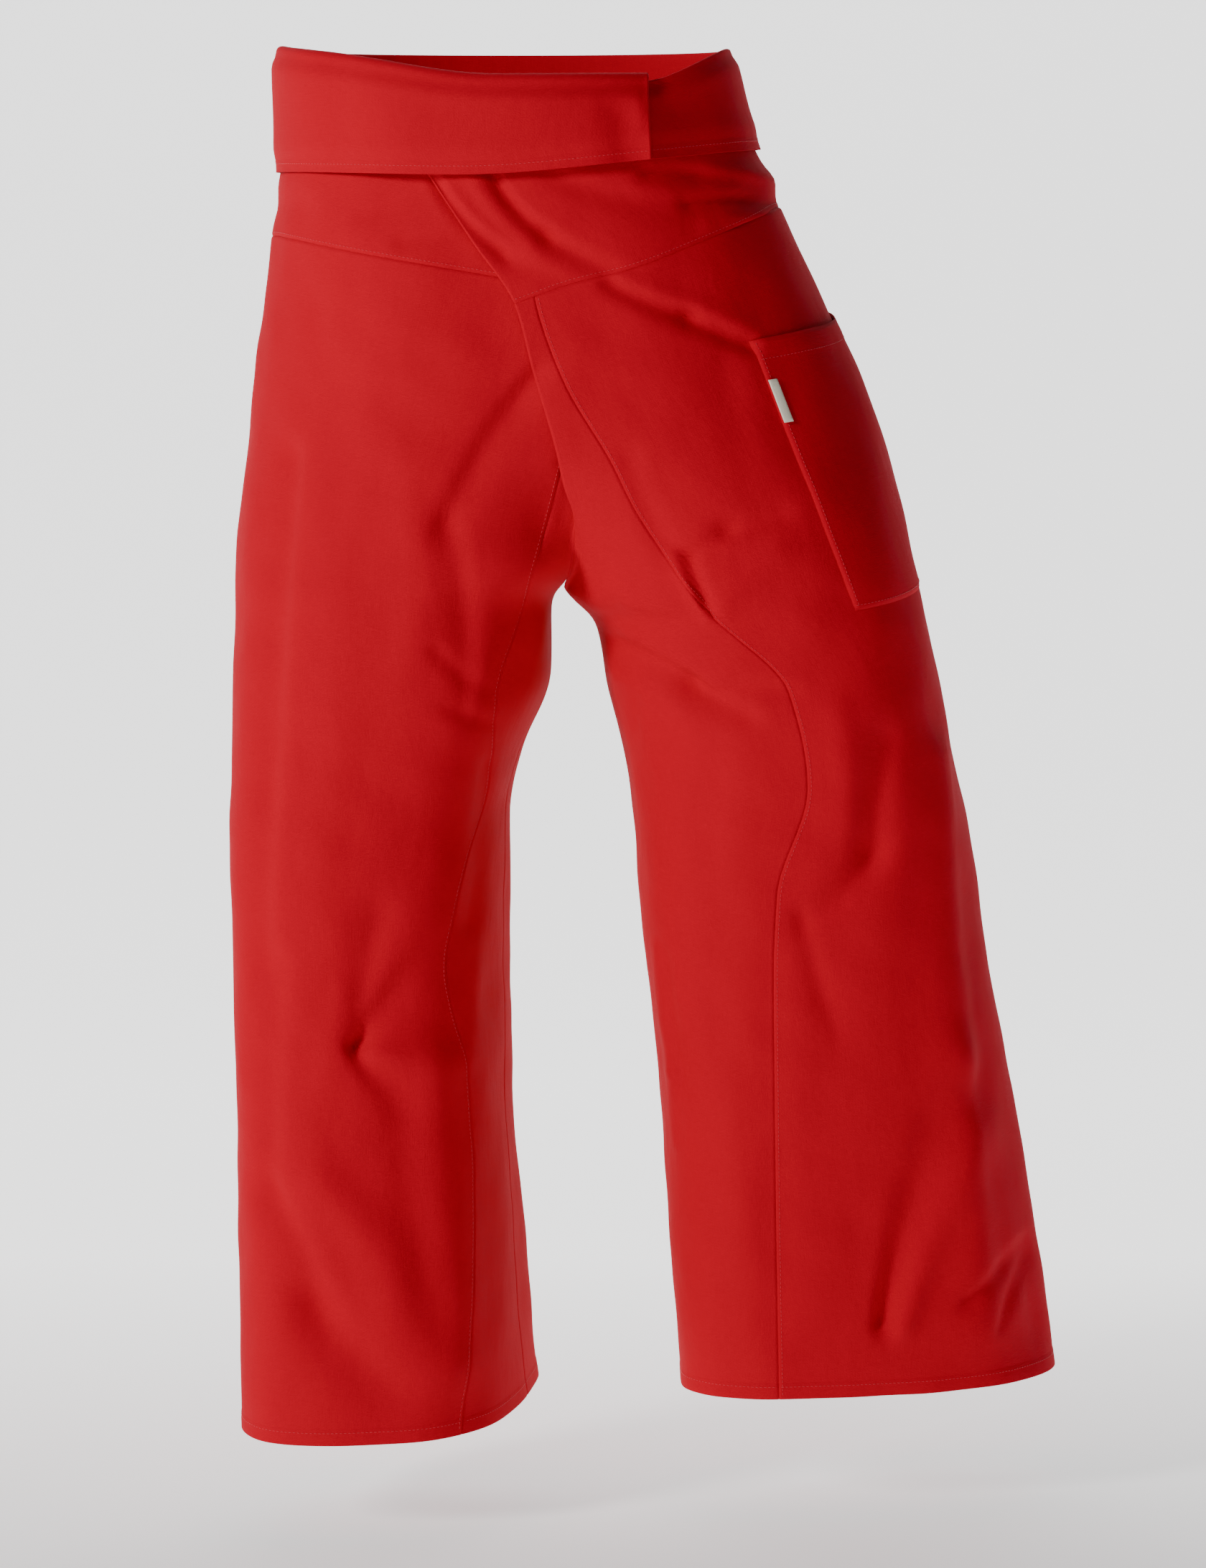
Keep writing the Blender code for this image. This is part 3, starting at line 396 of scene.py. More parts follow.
def loop_direction(x, y, level):
    """Outward direction of the waist's loop without its pleat, level, at points on it.

    Over the pleat it is straight to the front, as the pleat's own layers are.
    """
    s = section("left", level)
    dx, dy = (x[:, None] - s["x"]) / s["a"], (y[:, None] - s["y"]) / s["b"]
    power = s["n"] - 1.0
    gx = np.sign(dx) * np.abs(dx) ** power / np.abs(s["a"])
    gy = np.sign(dy) * np.abs(dy) ** power / s["b"]
    size = np.hypot(gx, gy)
    square = smooth((PLEAT_REACH - np.abs(x[:, None])) / PLEAT_EASE) * (y[:, None] < 0.0)
    gx, gy = gx / size * (1.0 - square), gy / size * (1.0 - square) - square
    size = np.hypot(gx, gy)
    return np.concatenate([gx / size, gy / size, np.zeros_like(gx)], axis=1)


def standoff(depth):
    """Gap between yoke and fold-over at a depth below the top fold."""
    return FOLD_GAP + (TIE_ROOM - FOLD_GAP) * smooth(depth / TIE_ROOM_DEPTH)


# Creases on the front and the back, in millimetres seen from the front. Each runs from (x0, z0)
# to (x1, z1) and bows sideways. Its width and its depth (below 0 a trough, above 0 a ridge) go
# from the first value to the second along it. skew makes one flank longer than the other.
# Columns: x0, z0, x1, z1, bow, width0, width1, depth0, depth1, skew.
FRONT_CREASES = (
    (-160, -258, -184, -630, 2, 10, 13, -5.5, -4.5, 0.3),
    (-171, -630, -179, -799, 2, 13, 12, -4, -4, 0.2),
    (-193, -289, -204, -713, -2, 12, 14, 1.5, 1.5, 0),
    (20, -197, -44, -305, 5, 9, 12, -5.5, -4.5, -0.3),
    (-44, -305, -32, -439, -7, 12, 8, -3.5, -2.5, 0.2),
    (-77, -258, -65, -394, -4, 16, 16, 2.5, 1.5, 0),
    (-52, -397, -14, -427, 2, 5, 7, -2.2, -1.4, 0),
    (-45, -439, -10, -453, 1, 5, 6, -1.8, -1, 0),
    (-112, -690, -55, -625, -4, 6, 22, -7.5, -3.5, 0.3),
    (-112, -693, -51, -702, 1, 6, 18, 4, 1.5, 0.2),
    (-114, -691, -71, -738, 2, 6, 18, -5.5, -2.5, -0.2),
    (-95, -596, -111, -681, 3, 13, 8, -3, -3, 0.2),
    (-122, -649, -143, -746, -2, 9, 16, 2, 1, 0),
    (-175, -800, -141, -886, -3, 12, 16, -5, -6, 0.3),
    (-141, -886, -96, -943, 2, 16, 20, -6, -4.5, 0.2),
    (-138, -789, -59, -932, -7, 18, 24, 5, 4, 0),
    (-79, -746, -53, -902, 4, 14, 14, -2.5, -2, 0),
    (23, -649, 31, -929, 0, 34, 44, -8, -10, 0),
    (8, -426, 4, -649, 0, 22, 30, -5.5, -8, 0),
    (-53, -713, -37, -929, 2, 16, 20, 4, 4.5, 0),
    (-52, -54, -4, -106, 4, 4, 5, -6, -5, 0.35),
    (-4, -106, 49, -131, 2, 6, 9, -3, -1, 0.3),
    (-58, -54, -9, -104, 4, 6, 9, 2.4, 1.6, -0.2),
    (-11, -48, 29, -94, 4, 4, 6, -5.4, -4.8, 0.35),
    (29, -94, 93, -126, 3, 6, 9, -4.8, -1.6, 0.3),
    (-27, -49, 15, -96, 4, 6, 8, 2.2, 1.6, -0.2),
    (-76, -99, -35, -90, 1, 5, 7, -2.2, -1.2, 0),
    (-105, -80, -61, -60, 2, 6, 7, -2, -1.4, 0.2),
    (33, -52, 145, -80, 3, 7, 10, -2.4, -1.6, 0.2),
    (101, -49, 197, -60, -2, 5, 6, -5, -4.2, 0.2),
    (132, -72, 203, -70, -2, 5, 6, -4, -4, 0),
    (145, -86, 201, -60, 2, 5, 6, 2, 1.8, 0),
    (75, -130, 132, -153, 2, 5, 6, -4, -4.2, 0.25),
    (132, -153, 177, -173, 1, 6, 5, -4.2, -5.5, 0.25),
    (85, -124, 172, -161, 1, 6, 7, 1.8, 1.5, -0.2),
    (158, -184, 180, -289, 3, 12, 16, -1.8, -1.4, 0),
    (122, -328, 147, -371, 2, 5, 4, 4, 3.5, 0.3),
    (132, -330, 147, -368, 1, 4, 4, -3.5, -4.5, -0.2),
    (199, -298, 160, -309, -1, 7, 8, -2.5, -3.5, 0.2),
    (160, -309, 129, -330, -2, 8, 6, -3.5, -4, 0.2),
    (196, -326, 154, -368, 3, 10, 8, 1.8, 2.5, 0),
    (90, -258, 119, -326, 3, 8, 10, -2, -2.5, 0),
    (67, -377, 117, -374, -2, 3, 3, -1, -1.4, 0),
    (117, -374, 146, -368, -1, 3, 3, -1.4, -1.6, 0),
    (49, -289, 75, -368, 2, 8, 12, -2.5, -3, 0.2),
    (72, -392, 133, -421, -2, 7, 9, -4, -6, 0.3),
    (133, -421, 174, -444, 2, 8, 9, -6, -4, 0.3),
    (154, -427, 205, -427, -3, 6, 8, -2.4, -1.6, 0.2),
    (80, -418, 127, -447, -2, 8, 10, 2.2, 2, 0),
    (97, -432, 93, -478, 1, 4, 4, -1.6, -1.2, 0),
    (278, -468, 268, -552, 2, 11, 15, -4, -5.5, 0.2),
    (268, -552, 220, -601, -3, 15, 10, -4.5, -2.5, 0.2),
    (216, -596, 243, -681, 2, 7, 9, -2.2, -1.6, 0),
    (241, -447, 254, -548, -3, 12, 14, 2.5, 2, 0),
    (321, -479, 339, -713, 3, 12, 16, 4.5, 5, 0.4),
    (339, -713, 360, -918, 2, 16, 20, 5.5, 6, 0.3),
    (398, -660, 416, -918, 0, 26, 32, -6, -8, 0),
    (280, -909, 332, -738, -5, 8, 26, -8, -4, 0.3),
    (295, -913, 351, -773, -4, 8, 18, 5, 3, 0),
    (345, -897, 396, -864, -2, 6, 9, -3.5, -3, 0.2),
    (371, -921, 399, -875, -2, 5, 8, -3, -3, 0.2),
    (160, -713, 187, -929, 3, 16, 20, 2.2, 1.6, 0),
    (194, -633, 200, -918, -2, 12, 14, -1.6, -1.6, 0),
    (109, -625, 122, -720, 2, 4, 5, 2.2, 2.4, 0),
    (122, -720, 122, -775, 1, 5, 4, 2.4, 1.8, 0),
    (117, -628, 129, -724, 2, 4, 6, -2, -2, 0),
    (149, -500, 160, -703, 3, 16, 18, -2, -1.6, 0),
    (-145, -143, -125, -258, -3, 18, 22, -1.4, -1.2, 0),
    (-77, -143, -98, -247, 3, 20, 22, 1.6, 1.2, 0),
    (-126, -447, -134, -601, 3, 20, 20, 1.8, 1.8, 0),
    (-15, -489, -26, -601, -2, 8, 9, -2.5, -3, 0.2),
    (-10, -606, -29, -703, 3, 9, 9, 2, 2, 0),
)
BACK_CREASES = (
    (-120, -160, -30, -330, 12, 14, 24, -5.5, -4, 0.2),
    (150, -160, 60, -330, -14, 14, 24, -5, -4, 0.2),
    (100, -120, 20, -240, -8, 8, 12, -3, -2, 0.2),
    (-80, -110, 0, -220, 8, 8, 12, -2.8, -2, 0.2),
    (-170, -80, -60, -150, 6, 7, 10, -2.6, -1.6, 0.2),
    (185, -85, 80, -150, -6, 7, 10, -3, -1.8, 0.2),
    (-40, -365, -120, -450, 8, 10, 16, -5, -3, 0.3),
    (0, -380, -70, -560, 12, 12, 16, -3.5, -2, 0.2),
    (110, -370, 215, -470, -8, 10, 18, -5, -3, 0.3),
    (90, -400, 150, -600, -10, 12, 16, -3.5, -2, 0.2),
    (-130, -520, -115, -900, 8, 14, 22, -4, -4.5, 0.3),
    (-60, -600, -45, -930, -6, 14, 20, 3.5, 3, 0),
    (-165, -640, -160, -950, 5, 10, 14, 2.5, 3, 0.2),
    (-20, -640, -100, -700, 6, 7, 14, -4.5, -2, 0.3),
    (250, -520, 290, -900, 10, 14, 22, -4.5, -4.5, 0.3),
    (190, -620, 200, -920, 6, 14, 20, 3.5, 3, 0),
    (340, -560, 370, -930, 8, 12, 16, 3, 3, 0.2),
    (330, -700, 240, -640, -6, 7, 14, -4.5, -2, 0.3),
    (-140, -200, -170, -480, 6, 14, 18, -3, -2.5, 0.2),
    (230, -200, 300, -480, -6, 14, 18, -3, -2.5, 0.2),
    (-100, -930, -150, -780, 4, 8, 18, -3.5, -2, 0.2),
    (300, -920, 330, -780, 4, 8, 18, -3.5, -2, 0.2),
)

# Where the pleat runs out the cloth is kept smooth: middle, half width and half height.
CALM_X, CALM_Z, CALM_WIDTH, CALM_HEIGHT = 0.050, -0.312, 0.026, 0.034
KNOT_ROUNDS = 40             # how often knots there are drawn out
# Bulges of the cloth bunched under the fold-over at both sides, seen as bumps of the outline:
# height, width and how far each stands out.
SIDE_BULGES = {"left": ((-0.053, 0.009, 4.5 * MM), (-0.071, 0.006, -1.2 * MM),
                        (-0.083, 0.006, 1.6 * MM)),
               "right": ((-0.056, 0.010, 1.5 * MM), (-0.075, 0.007, -0.8 * MM))}
# Folds of the fold-over near its end, by X: middle, width, height.
FLAP_FOLDS = ((0.094, 0.008, 2.6 * MM), (0.074, 0.012, -2.2 * MM), (0.128, 0.012, -2.2 * MM),
              (0.158, 0.014, 1.6 * MM), (-0.110, 0.030, 0.8 * MM), (-0.030, 0.035, -0.8 * MM))
TUCK_BACK, TUCK_HEIGHT = 3.6 * MM, 20 * MM     # the fold-over's edge lies back to the yoke

LEVEL_STEP = 1.0 * MM
LEVELS = np.arange(-1.006, 0.0655, LEVEL_STEP)
EDGE_OFFSETS = tuple(v * MM for v in (0.0, 0.5, 1.1, 1.9, 2.8, 4.4))
HEM_OFFSETS = tuple(v * MM for v in (0.0, 0.4, 1.2, 3.5, 6.5, 9.5, 11.2, 12.2, 13.2, 15.5))
HEM_STITCH, HEM_DEPTH = 5, 11.8 * MM
SEAM_STITCH = 4
FLAP_HEM_OFFSETS = tuple(v * MM for v in (0.0, 0.4, 1.2, 3.5, 6.2, 8.0, 9.0, 10.0, 12.5))
FLAP_STITCH, FLAP_HEM_DEPTH = 4, 8.6 * MM
# A hem's doubled cloth stands out and is drawn in along its stitches.
HEM_RAISE, HEM_STEP = 0.55 * MM, 0.9 * MM
STITCH_SINK, STITCH_WIDTH = 0.35 * MM, 1.4 * MM
SEAM_SINK, SEAM_WIDTH = 0.8 * MM, 0.9 * MM
# Least lengths along the loop of the pleat's middle layer, its turn and a step of columns.
LEAST_MIDDLE, LEAST_TURN, LEAST_STEP = 8 * MM, 1 * MM, 0.5 * MM
OPEN_START, OPEN_HEIGHT = 0.003, 0.045       # above the crotch, where columns start to follow it
SOFT_REACH, SOFT_SPREAD, SOFT_HEIGHT = 30, 11.0, 0.045   # levels, levels and metres


FACING_EASE, END_EASE = 0.55, 1.3     # how softly creases fade to the sides and at their ends


def relief(x, z, facing):
    """Height of the creases at points. facing is the Y of the direction they face."""
    total = np.zeros(np.shape(x))
    for table, side in ((FRONT_CREASES, -1.0), (BACK_CREASES, 1.0)):
        weight = smooth(facing * side / FACING_EASE)
        for *sizes, skew in table:
            x0, z0, x1, z1, bow, w0, w1, d0, d1 = (size * MM for size in sizes)
            dx, dz = x1 - x0, z1 - z0
            length = math.hypot(dx, dz)
            t = ((x - x0) * dx + (z - z0) * dz) / length ** 2
            inside = np.clip(t, 0.0, 1.0)
            across = ((x - x0) * dz - (z - z0) * dx) / length
            across = across - bow * 4.0 * inside * (1.0 - inside)
            width = w0 + (w1 - w0) * inside
            width = width * (1.0 + skew * np.tanh(across / width))
            beyond = np.maximum(np.abs(t - 0.5) - 0.5, 0.0) * length
            shape = np.exp(-(across / width) ** 2 - (beyond / width / END_EASE) ** 2)
            total += weight * shape * (d0 + (d1 - d0) * inside)
    return total


# Waves of hanging cloth: change of phase per metre along X, Y and Z, phase and height.
WAVES = (
    (41.0, 17.0, 5.0, 0.0, 0.60 * MM), (23.0, -37.0, 9.0, 1.3, 0.60 * MM),
    (88.0, 61.0, -14.0, 4.0, 0.36 * MM), (19.0, 31.0, 47.0, 2.1, 0.30 * MM),
    (131.0, -97.0, 33.0, 0.7, 0.16 * MM), (-157.0, 120.0, 61.0, 2.9, 0.12 * MM),
    (72.0, 45.0, 118.0, 5.2, 0.12 * MM), (-61.0, 83.0, -139.0, 3.3, 0.10 * MM),
)


def sway(x, y, z):
    """Slow unevenness of hanging cloth, bent so that no two waves look alike."""
    x = x + 0.012 * np.sin(13.0 * z + 2.0) + 0.006 * np.sin(37.0 * z)
    return sum(high * np.sin(kx * x + ky * y + kz * z + phase)
               for kx, ky, kz, phase, high in WAVES)


def unit(v):
    """Vectors at length 1."""
    return v / np.maximum(np.linalg.norm(v, axis=-1, keepdims=True), 1e-12)


def grid_normal(grid, closed=False):
    """Unit normals of a grid of rows by columns."""
    if closed:
        across = np.roll(grid, -1, axis=1) - np.roll(grid, 1, axis=1)
    else:
        across = np.gradient(grid, axis=1)
    return unit(np.cross(across, np.gradient(grid, axis=0)))


class Half:
    """The surface of one half of the garment, tabled by level."""

    def __init__(self, side):
        self.side = side
        self.loop = measure(side, LEVELS)
        self.front, self.back = seam_ends(side, self.loop, LEVELS)

    def fitted(self, low, high, count):
        """Distances of columns between two lines, closer together near both."""
        near = [low + o for o in EDGE_OFFSETS]
        far = [high - o for o in EDGE_OFFSETS[::-1]]
        share = np.linspace(0.0, 1.0, count + 2)[1:-1]
        middle = [near[-1] + (far[0] - near[-1]) * s for s in share]
        return np.stack(near + middle + far, axis=1)

    def columns(self, piece):
        """Distances along the loop of a piece's columns, by level."""
        loop = self.loop
        if piece == "panel":
            return self.fitted(self.front, self.back, PANEL_COLUMNS)
        if piece == "inset_back":
            return self.fitted(self.back, loop["total"], INSET_COLUMNS)
        end = self.front if piece == "inset_front" else loop["total"]
        steps = INSET_COLUMNS if piece == "inset_front" else YOKE_COLUMNS
        zero = np.zeros_like(end)
        even = self.fitted(zero, end, MIDDLE_COLUMNS + TURN_COLUMNS + steps)
        middle = np.maximum(loop["middle"], LEAST_MIDDLE)
        start = np.maximum(loop["start"], middle + LEAST_TURN)
        first = [o * np.ones_like(end) for o in EDGE_OFFSETS]
        rest = [middle * s for s in np.linspace(0.0, 1.0, MIDDLE_COLUMNS + 2)[1:-1]]
        rest = [np.maximum(v, EDGE_OFFSETS[-1] + LEAST_STEP * (i + 1)) for i, v in enumerate(rest)]
        turn = [middle + (start - middle) * s for s in np.linspace(0.0, 1.0, TURN_COLUMNS)]
        last = [end - o for o in EDGE_OFFSETS[::-1]]
        share = np.linspace(0.0, 1.0, steps + 2)[1:-1]
        long = [start + (last[0] - start) * s for s in share]
        folded = np.stack(first + rest + turn + long + last, axis=1)
        follow = smooth((LEVELS - CROTCH - OPEN_START) / OPEN_HEIGHT)[:, None]
        return even + follow * (folded - even)

    def table(self, piece):
        """X, Y, layer and distance of a piece's columns, by level."""
        distance = self.columns(piece)
        values = {}
        for name in ("x", "y", "layer"):
            exact = np.stack([np.interp(d, r, v) for d, r, v in
                              zip(distance, self.loop["run"], self.loop[name])])
            values[name] = soften(exact)
        values["distance"] = distance
        values["hidden"] = distance < self.loop["start"][:, None]
        return values


def soften(values):
    """A table with its sudden turns near the crotch spread over a few centimetres."""
    reach = np.arange(-SOFT_REACH, SOFT_REACH + 1)
    kernel = np.exp(-(reach / SOFT_SPREAD) ** 2)
    padded = np.pad(values, ((SOFT_REACH, SOFT_REACH), (0, 0)), mode="edge")
    blurred = sum(k * padded[SOFT_REACH + r:SOFT_REACH + r + len(values)]
                  for r, k in zip(reach, kernel))
    near = np.exp(-((LEVELS - CROTCH) / SOFT_HEIGHT) ** 2)[:, None]
    return values + near * (blurred / kernel.sum() - values)


def at_height(values, level):
    """A table's values at heights given for its columns, rows by columns."""
    place = (level - LEVELS[0]) / LEVEL_STEP
    i = np.clip(place.astype(int), 0, len(LEVELS) - 2)
    t = np.clip(place - i, 0.0, 1.0)
    c = np.broadcast_to(np.arange(level.shape[-1]), level.shape)
    return values[i, c] * (1.0 - t) + values[i + 1, c] * t


FIRST_GUESS, GUESS_ROUNDS = -0.10, 12        # height, and how often it is made better
TOP_EASE, CROTCH_EASE = 0.05, 0.030          # lengths over which the top and the pleat even out


def height_where(table, rule):
    """Heights at which a table's columns meet a line given by a rule of X, Y and hiding."""
    level = np.full(table["x"].shape[1], FIRST_GUESS)
    for _ in range(GUESS_ROUNDS):
        x, y = at_height(table["x"], level), at_height(table["y"], level)
        hidden = at_height(table["hidden"] * 1.0, level) > 0.5
        level = rule(x, y, hidden)
    return level


def yoke_line(side):
    """The rule of the seam under the yoke."""
    front = YOKE_FRONT_LEFT if side == "left" else YOKE_FRONT_RIGHT

    def rule(x, y, hidden):
        height = np.where(y < 0.0, along(front, x), along(YOKE_BACK, x))
        return np.where(hidden, YOKE_UNDER_PLEAT, height)
    return rule


def fold_line(x, y, hidden):
    """The rule of the top fold, the same over the hidden layers."""
    back = smooth((y + TOP_EASE) / TOP_EASE)
    return along(FOLD_FRONT, x) * (1.0 - back) + FOLD_BACK * back


def flap_edge(x, y, hidden):
    """The rule of the fold-over's free edge, the same over the hidden layers."""
    return np.where(y < 0.0, along(EDGE_FRONT, x), along(EDGE_BACK, x))


def outward(points, normal):
    """Direction in which creases move the cloth: square to the front over the pleat."""
    x, y, z = points[..., 0], points[..., 1], points[..., 2]
    square = (smooth((PLEAT_REACH - np.abs(x)) / PLEAT_EASE) * (y < 0.0)
              * smooth((z - PLEAT_END) / CROTCH_EASE))[..., None]
    return unit(normal * (1.0 - square) + np.array([0.0, -1.0, 0.0]) * square)


def edge_fall(offset):
    """How far cloth tucks in near a seam."""
    return -SEAM_SINK * np.exp(-(offset / SEAM_WIDTH) ** 2)


def hem_relief(above, depth, stitch):
    """Height of a hem of a depth, at distances above its edge, stitched at one of them."""
    doubled = HEM_RAISE * smooth((depth - above) / HEM_STEP)
    return doubled - STITCH_SINK * np.exp(-((above - stitch) / STITCH_WIDTH) ** 2)


class Value:
    """A shader socket with arithmetic."""

    def __init__(self, graph, socket):
        self.graph, self.socket = graph, socket

    def math(self, operation, other=None, swapped=False):
        pair = (other, self) if swapped else (self, other)
        inputs = {i: v for i, v in enumerate(pair) if v is not None}
        return self.graph.node("ShaderNodeMath", {"operation": operation}, inputs)

    def __add__(self, other):
        return self.math("ADD", other)

    def __sub__(self, other):
        return self.math("SUBTRACT", other)

    def __mul__(self, other):
        return self.math("MULTIPLY", other)

    def __radd__(self, other):
        return self.math("ADD", other, True)

    def __rsub__(self, other):
        return self.math("SUBTRACT", other, True)

    def __rmul__(self, other):
        return self.math("MULTIPLY", other, True)

    def __gt__(self, other):
        return self.math("GREATER_THAN", other)

    def sine(self):
        return self.math("SINE")

    def mix(self, low, high):
        """low where this is 0, high where it is 1."""
        return low + self * (high - low)


class Graph:
    """The nodes of one material."""

    def __init__(self, name):
        self.material = bpy.data.materials.new(name)
        self.material.use_nodes = True
        self.tree = self.material.node_tree
        self.shader = self.tree.nodes["Principled BSDF"]

    def node(self, kind, settings=None, inputs=None, output=0):
        made = self.tree.nodes.new(kind)
        for key, value in (settings or {}).items():
            setattr(made, key, value)
        self.connect(made, inputs or {})
        return Value(self, made.outputs[output])

    def connect(self, made, inputs):
        """Link a node's inputs that vary and set those that don't."""
        for key, value in inputs.items():
            if isinstance(value, Value):
                self.tree.links.new(value.socket, made.inputs[key])
            else:
                made.inputs[key].default_value = value

    def split(self, vector):
        """The first two parts of a vector."""
        made = self.tree.nodes.new("ShaderNodeSeparateXYZ")
        self.connect(made, {0: vector})
        return Value(self, made.outputs[0]), Value(self, made.outputs[1])

    def noise(self, vector, scale, detail):
        """Noise stretched by a scale in each direction."""
        stretched = self.node("ShaderNodeVectorMath", {"operation": "MULTIPLY"},
                              {0: vector, 1: scale})
        return self.node("ShaderNodeTexNoise", {}, {"Vector": stretched, "Scale": 1.0,
                                                    "Detail": detail}, "Fac")

    def tint(self, colour, shade):
        """A colour made lighter or darker by a varying shade."""
        return self.node("ShaderNodeVectorMath", {"operation": "SCALE"},
                         {0: tuple(colour)[:3], "Scale": shade})

    def principled(self, inputs):
        self.connect(self.shader, inputs)


# Unevenness of the cloth, in changes per metre across and down it, and how fine it goes.
YARN_NOISE = {"slub": (140.0, 1100.0), "slub_up": (1300.0, 120.0), "cloud": (9.0, 7.0),
              "wrinkle": (60.0, 26.0)}
NOISE_DETAIL = {"slub": 3.0, "slub_up": 3.0, "cloud": 3.0, "wrinkle": 4.0}
BUMP_DEPTH = 0.0006
SPECULAR = 0.12
SHEEN_TINT = (1.0, 0.30, 0.28, 1.0)


def material_for(name, colour):
    """Woven cotton of a colour."""
    settings = bpy.context.scene.pants
    graph = Graph(name + "_cloth")
    uv = graph.node("ShaderNodeUVMap", {"uv_map": "cloth"})
    weave = settings.weave_size
    u, v = graph.split(uv)
    warp = ((u * (math.tau / weave)).sine() * 0.5 + 0.5)
    weft = ((v * (math.tau / weave)).sine() * 0.5 + 0.5)
    over = (u * (math.pi / weave)).sine() * (v * (math.pi / weave)).sine()
    thread = (over > 0.0).mix(warp, weft)
    slub, slub_up, cloud, wrinkle = (
        graph.noise(uv, (*YARN_NOISE[kind], 1.0), NOISE_DETAIL[kind])
        for kind in ("slub", "slub_up", "cloud", "wrinkle"))
    shade = 0.90 + slub * 0.10 + slub_up * 0.08 + (cloud - 0.5) * 0.10 + (thread - 0.5) * 0.05
    base = graph.tint(colour, shade)
    height = thread * 0.12 + slub * 0.60 + slub_up * 0.50 + wrinkle * 2.6
    bump = graph.node("ShaderNodeBump", {}, {"Strength": settings.bump_strength,
                                             "Distance": BUMP_DEPTH, "Height": height}, "Normal")
    graph.principled({"Base Color": base, "Roughness": 0.80 + slub * 0.12, "Normal": bump})
    graph.shader.inputs["Sheen Weight"].default_value = settings.sheen
    graph.shader.inputs["Sheen Roughness"].default_value = 0.5
    graph.shader.inputs["Sheen Tint"].default_value = SHEEN_TINT
    graph.shader.inputs["Specular IOR Level"].default_value = SPECULAR
    return graph.material


def make_object(name, verts, faces, uvs, material):
    """An object of one mesh, smooth, with the cloth's own coordinates where it has them."""
    mesh = bpy.data.meshes.new(name)
    mesh.vertices.add(len(verts))
    mesh.vertices.foreach_set("co", np.asarray(verts, np.float32).ravel())
    faces = np.asarray(faces, np.int32)
    sides = faces.shape[1]
    mesh.loops.add(faces.size)
    mesh.loops.foreach_set("vertex_index", faces.ravel())
    mesh.polygons.add(len(faces))
    mesh.polygons.foreach_set("loop_start", np.arange(0, faces.size, sides, dtype=np.int32))
    mesh.update(calc_edges=True)
    mesh.validate()
    if uvs is not None:
        layer = mesh.uv_layers.new(name="cloth")
        layer.data.foreach_set("uv", np.asarray(uvs, np.float32)[faces.ravel()].ravel())
    obj = bpy.data.objects.new(name, mesh)
    bpy.context.collection.objects.link(obj)
    mesh.materials.append(material)
    mesh.shade_smooth()
    return obj


class Cloth:
    """A grid of cloth, rows by columns, with its outward normals."""

    def __init__(self, points, normal, closed=False, thick=None):
        self.points, self.normal, self.closed = points, normal, closed
        settings = bpy.context.scene.pants
        self.thick = settings.cloth_thickness if thick is None else thick

    def build(self, name, material):
        """The closed thin shell of the grid, its face on the points."""
        rows, cols = self.points.shape[:2]
        inner = self.points - self.normal * self.thick
        verts = np.concatenate([self.points.reshape(-1, 3), inner.reshape(-1, 3)])
        index = np.arange(rows * cols).reshape(rows, cols)
        if self.closed:
            index = np.concatenate([index, index[:, :1]], axis=1)
        a, b, c, d = index[:-1, :-1], index[1:, :-1], index[1:, 1:], index[:-1, 1:]
        quads = np.stack([a, b, c, d], axis=-1).reshape(-1, 4)
        back = rows * cols
        rim = [np.stack([index[0, 1:], index[0, 1:] + back, index[0, :-1] + back,
                         index[0, :-1]], -1),
               np.stack([index[-1, :-1], index[-1, :-1] + back, index[-1, 1:] + back,
                         index[-1, 1:]], -1)]
        if not self.closed:
            rim += [np.stack([index[:-1, 0], index[:-1, 0] + back, index[1:, 0] + back,
                              index[1:, 0]], -1),
                    np.stack([index[1:, -1], index[1:, -1] + back, index[:-1, -1] + back,
                              index[:-1, -1]], -1)]
        faces = np.concatenate([quads, quads[:, ::-1] + back] + rim)
        u = np.zeros((rows, cols))
        u[:, 1:] = np.cumsum(np.linalg.norm(np.diff(self.points, axis=1), axis=-1), axis=1)
        u = u - u[:, cols // 2:cols // 2 + 1]
        v = np.zeros((rows, cols))
        v[1:] = np.cumsum(np.linalg.norm(np.diff(self.points, axis=0), axis=-1), axis=0)
        uv = np.stack([u, v], axis=-1).reshape(-1, 2)
        a3, b3, c3, d3 = (verts[faces[:, k]] for k in range(4))
        volume = np.einsum("ij,ij->i", a3, np.cross(b3, c3)).sum()
        volume += np.einsum("ij,ij->i", a3, np.cross(c3, d3)).sum()
        if volume < 0.0:
            faces = faces[:, ::-1]
        return make_object(name, verts, faces, np.concatenate([uv, uv]), material)

    def size(self):
        """Width, length and area of the cloth."""
        p = self.points
        if self.closed:
            p = np.concatenate([p, p[:, :1]], axis=1)
        step = np.linalg.norm(np.diff(p, axis=1), axis=-1)
        down = np.linalg.norm(np.diff(p, axis=0), axis=-1)
        area = np.linalg.norm(np.cross(p[1:, :-1] - p[:-1, :-1], p[:-1, 1:] - p[:-1, :-1]),
                              axis=-1).sum()
        return step.sum(axis=1).max(), down.sum(axis=0).max(), float(area)


LEAST_SIDE, LEAST_SHARE = 10 * MM, 0.31      # least side and least share of a sheet


def show(cloth, name, node):
    """Build a piece of cloth, hang it under the frame's root and hide the solid it stands for."""
    settings = bpy.context.scene.pants
    colour = settings.label_colour if node == "label" else settings.cloth_colour
    obj = cloth.build(name, material_for(name, colour))
    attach(obj, "root")
    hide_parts(node)
    width, length, area = cloth.size()
    width, length = float(max(width, LEAST_SIDE)), float(max(length, LEAST_SIDE))
    return obj


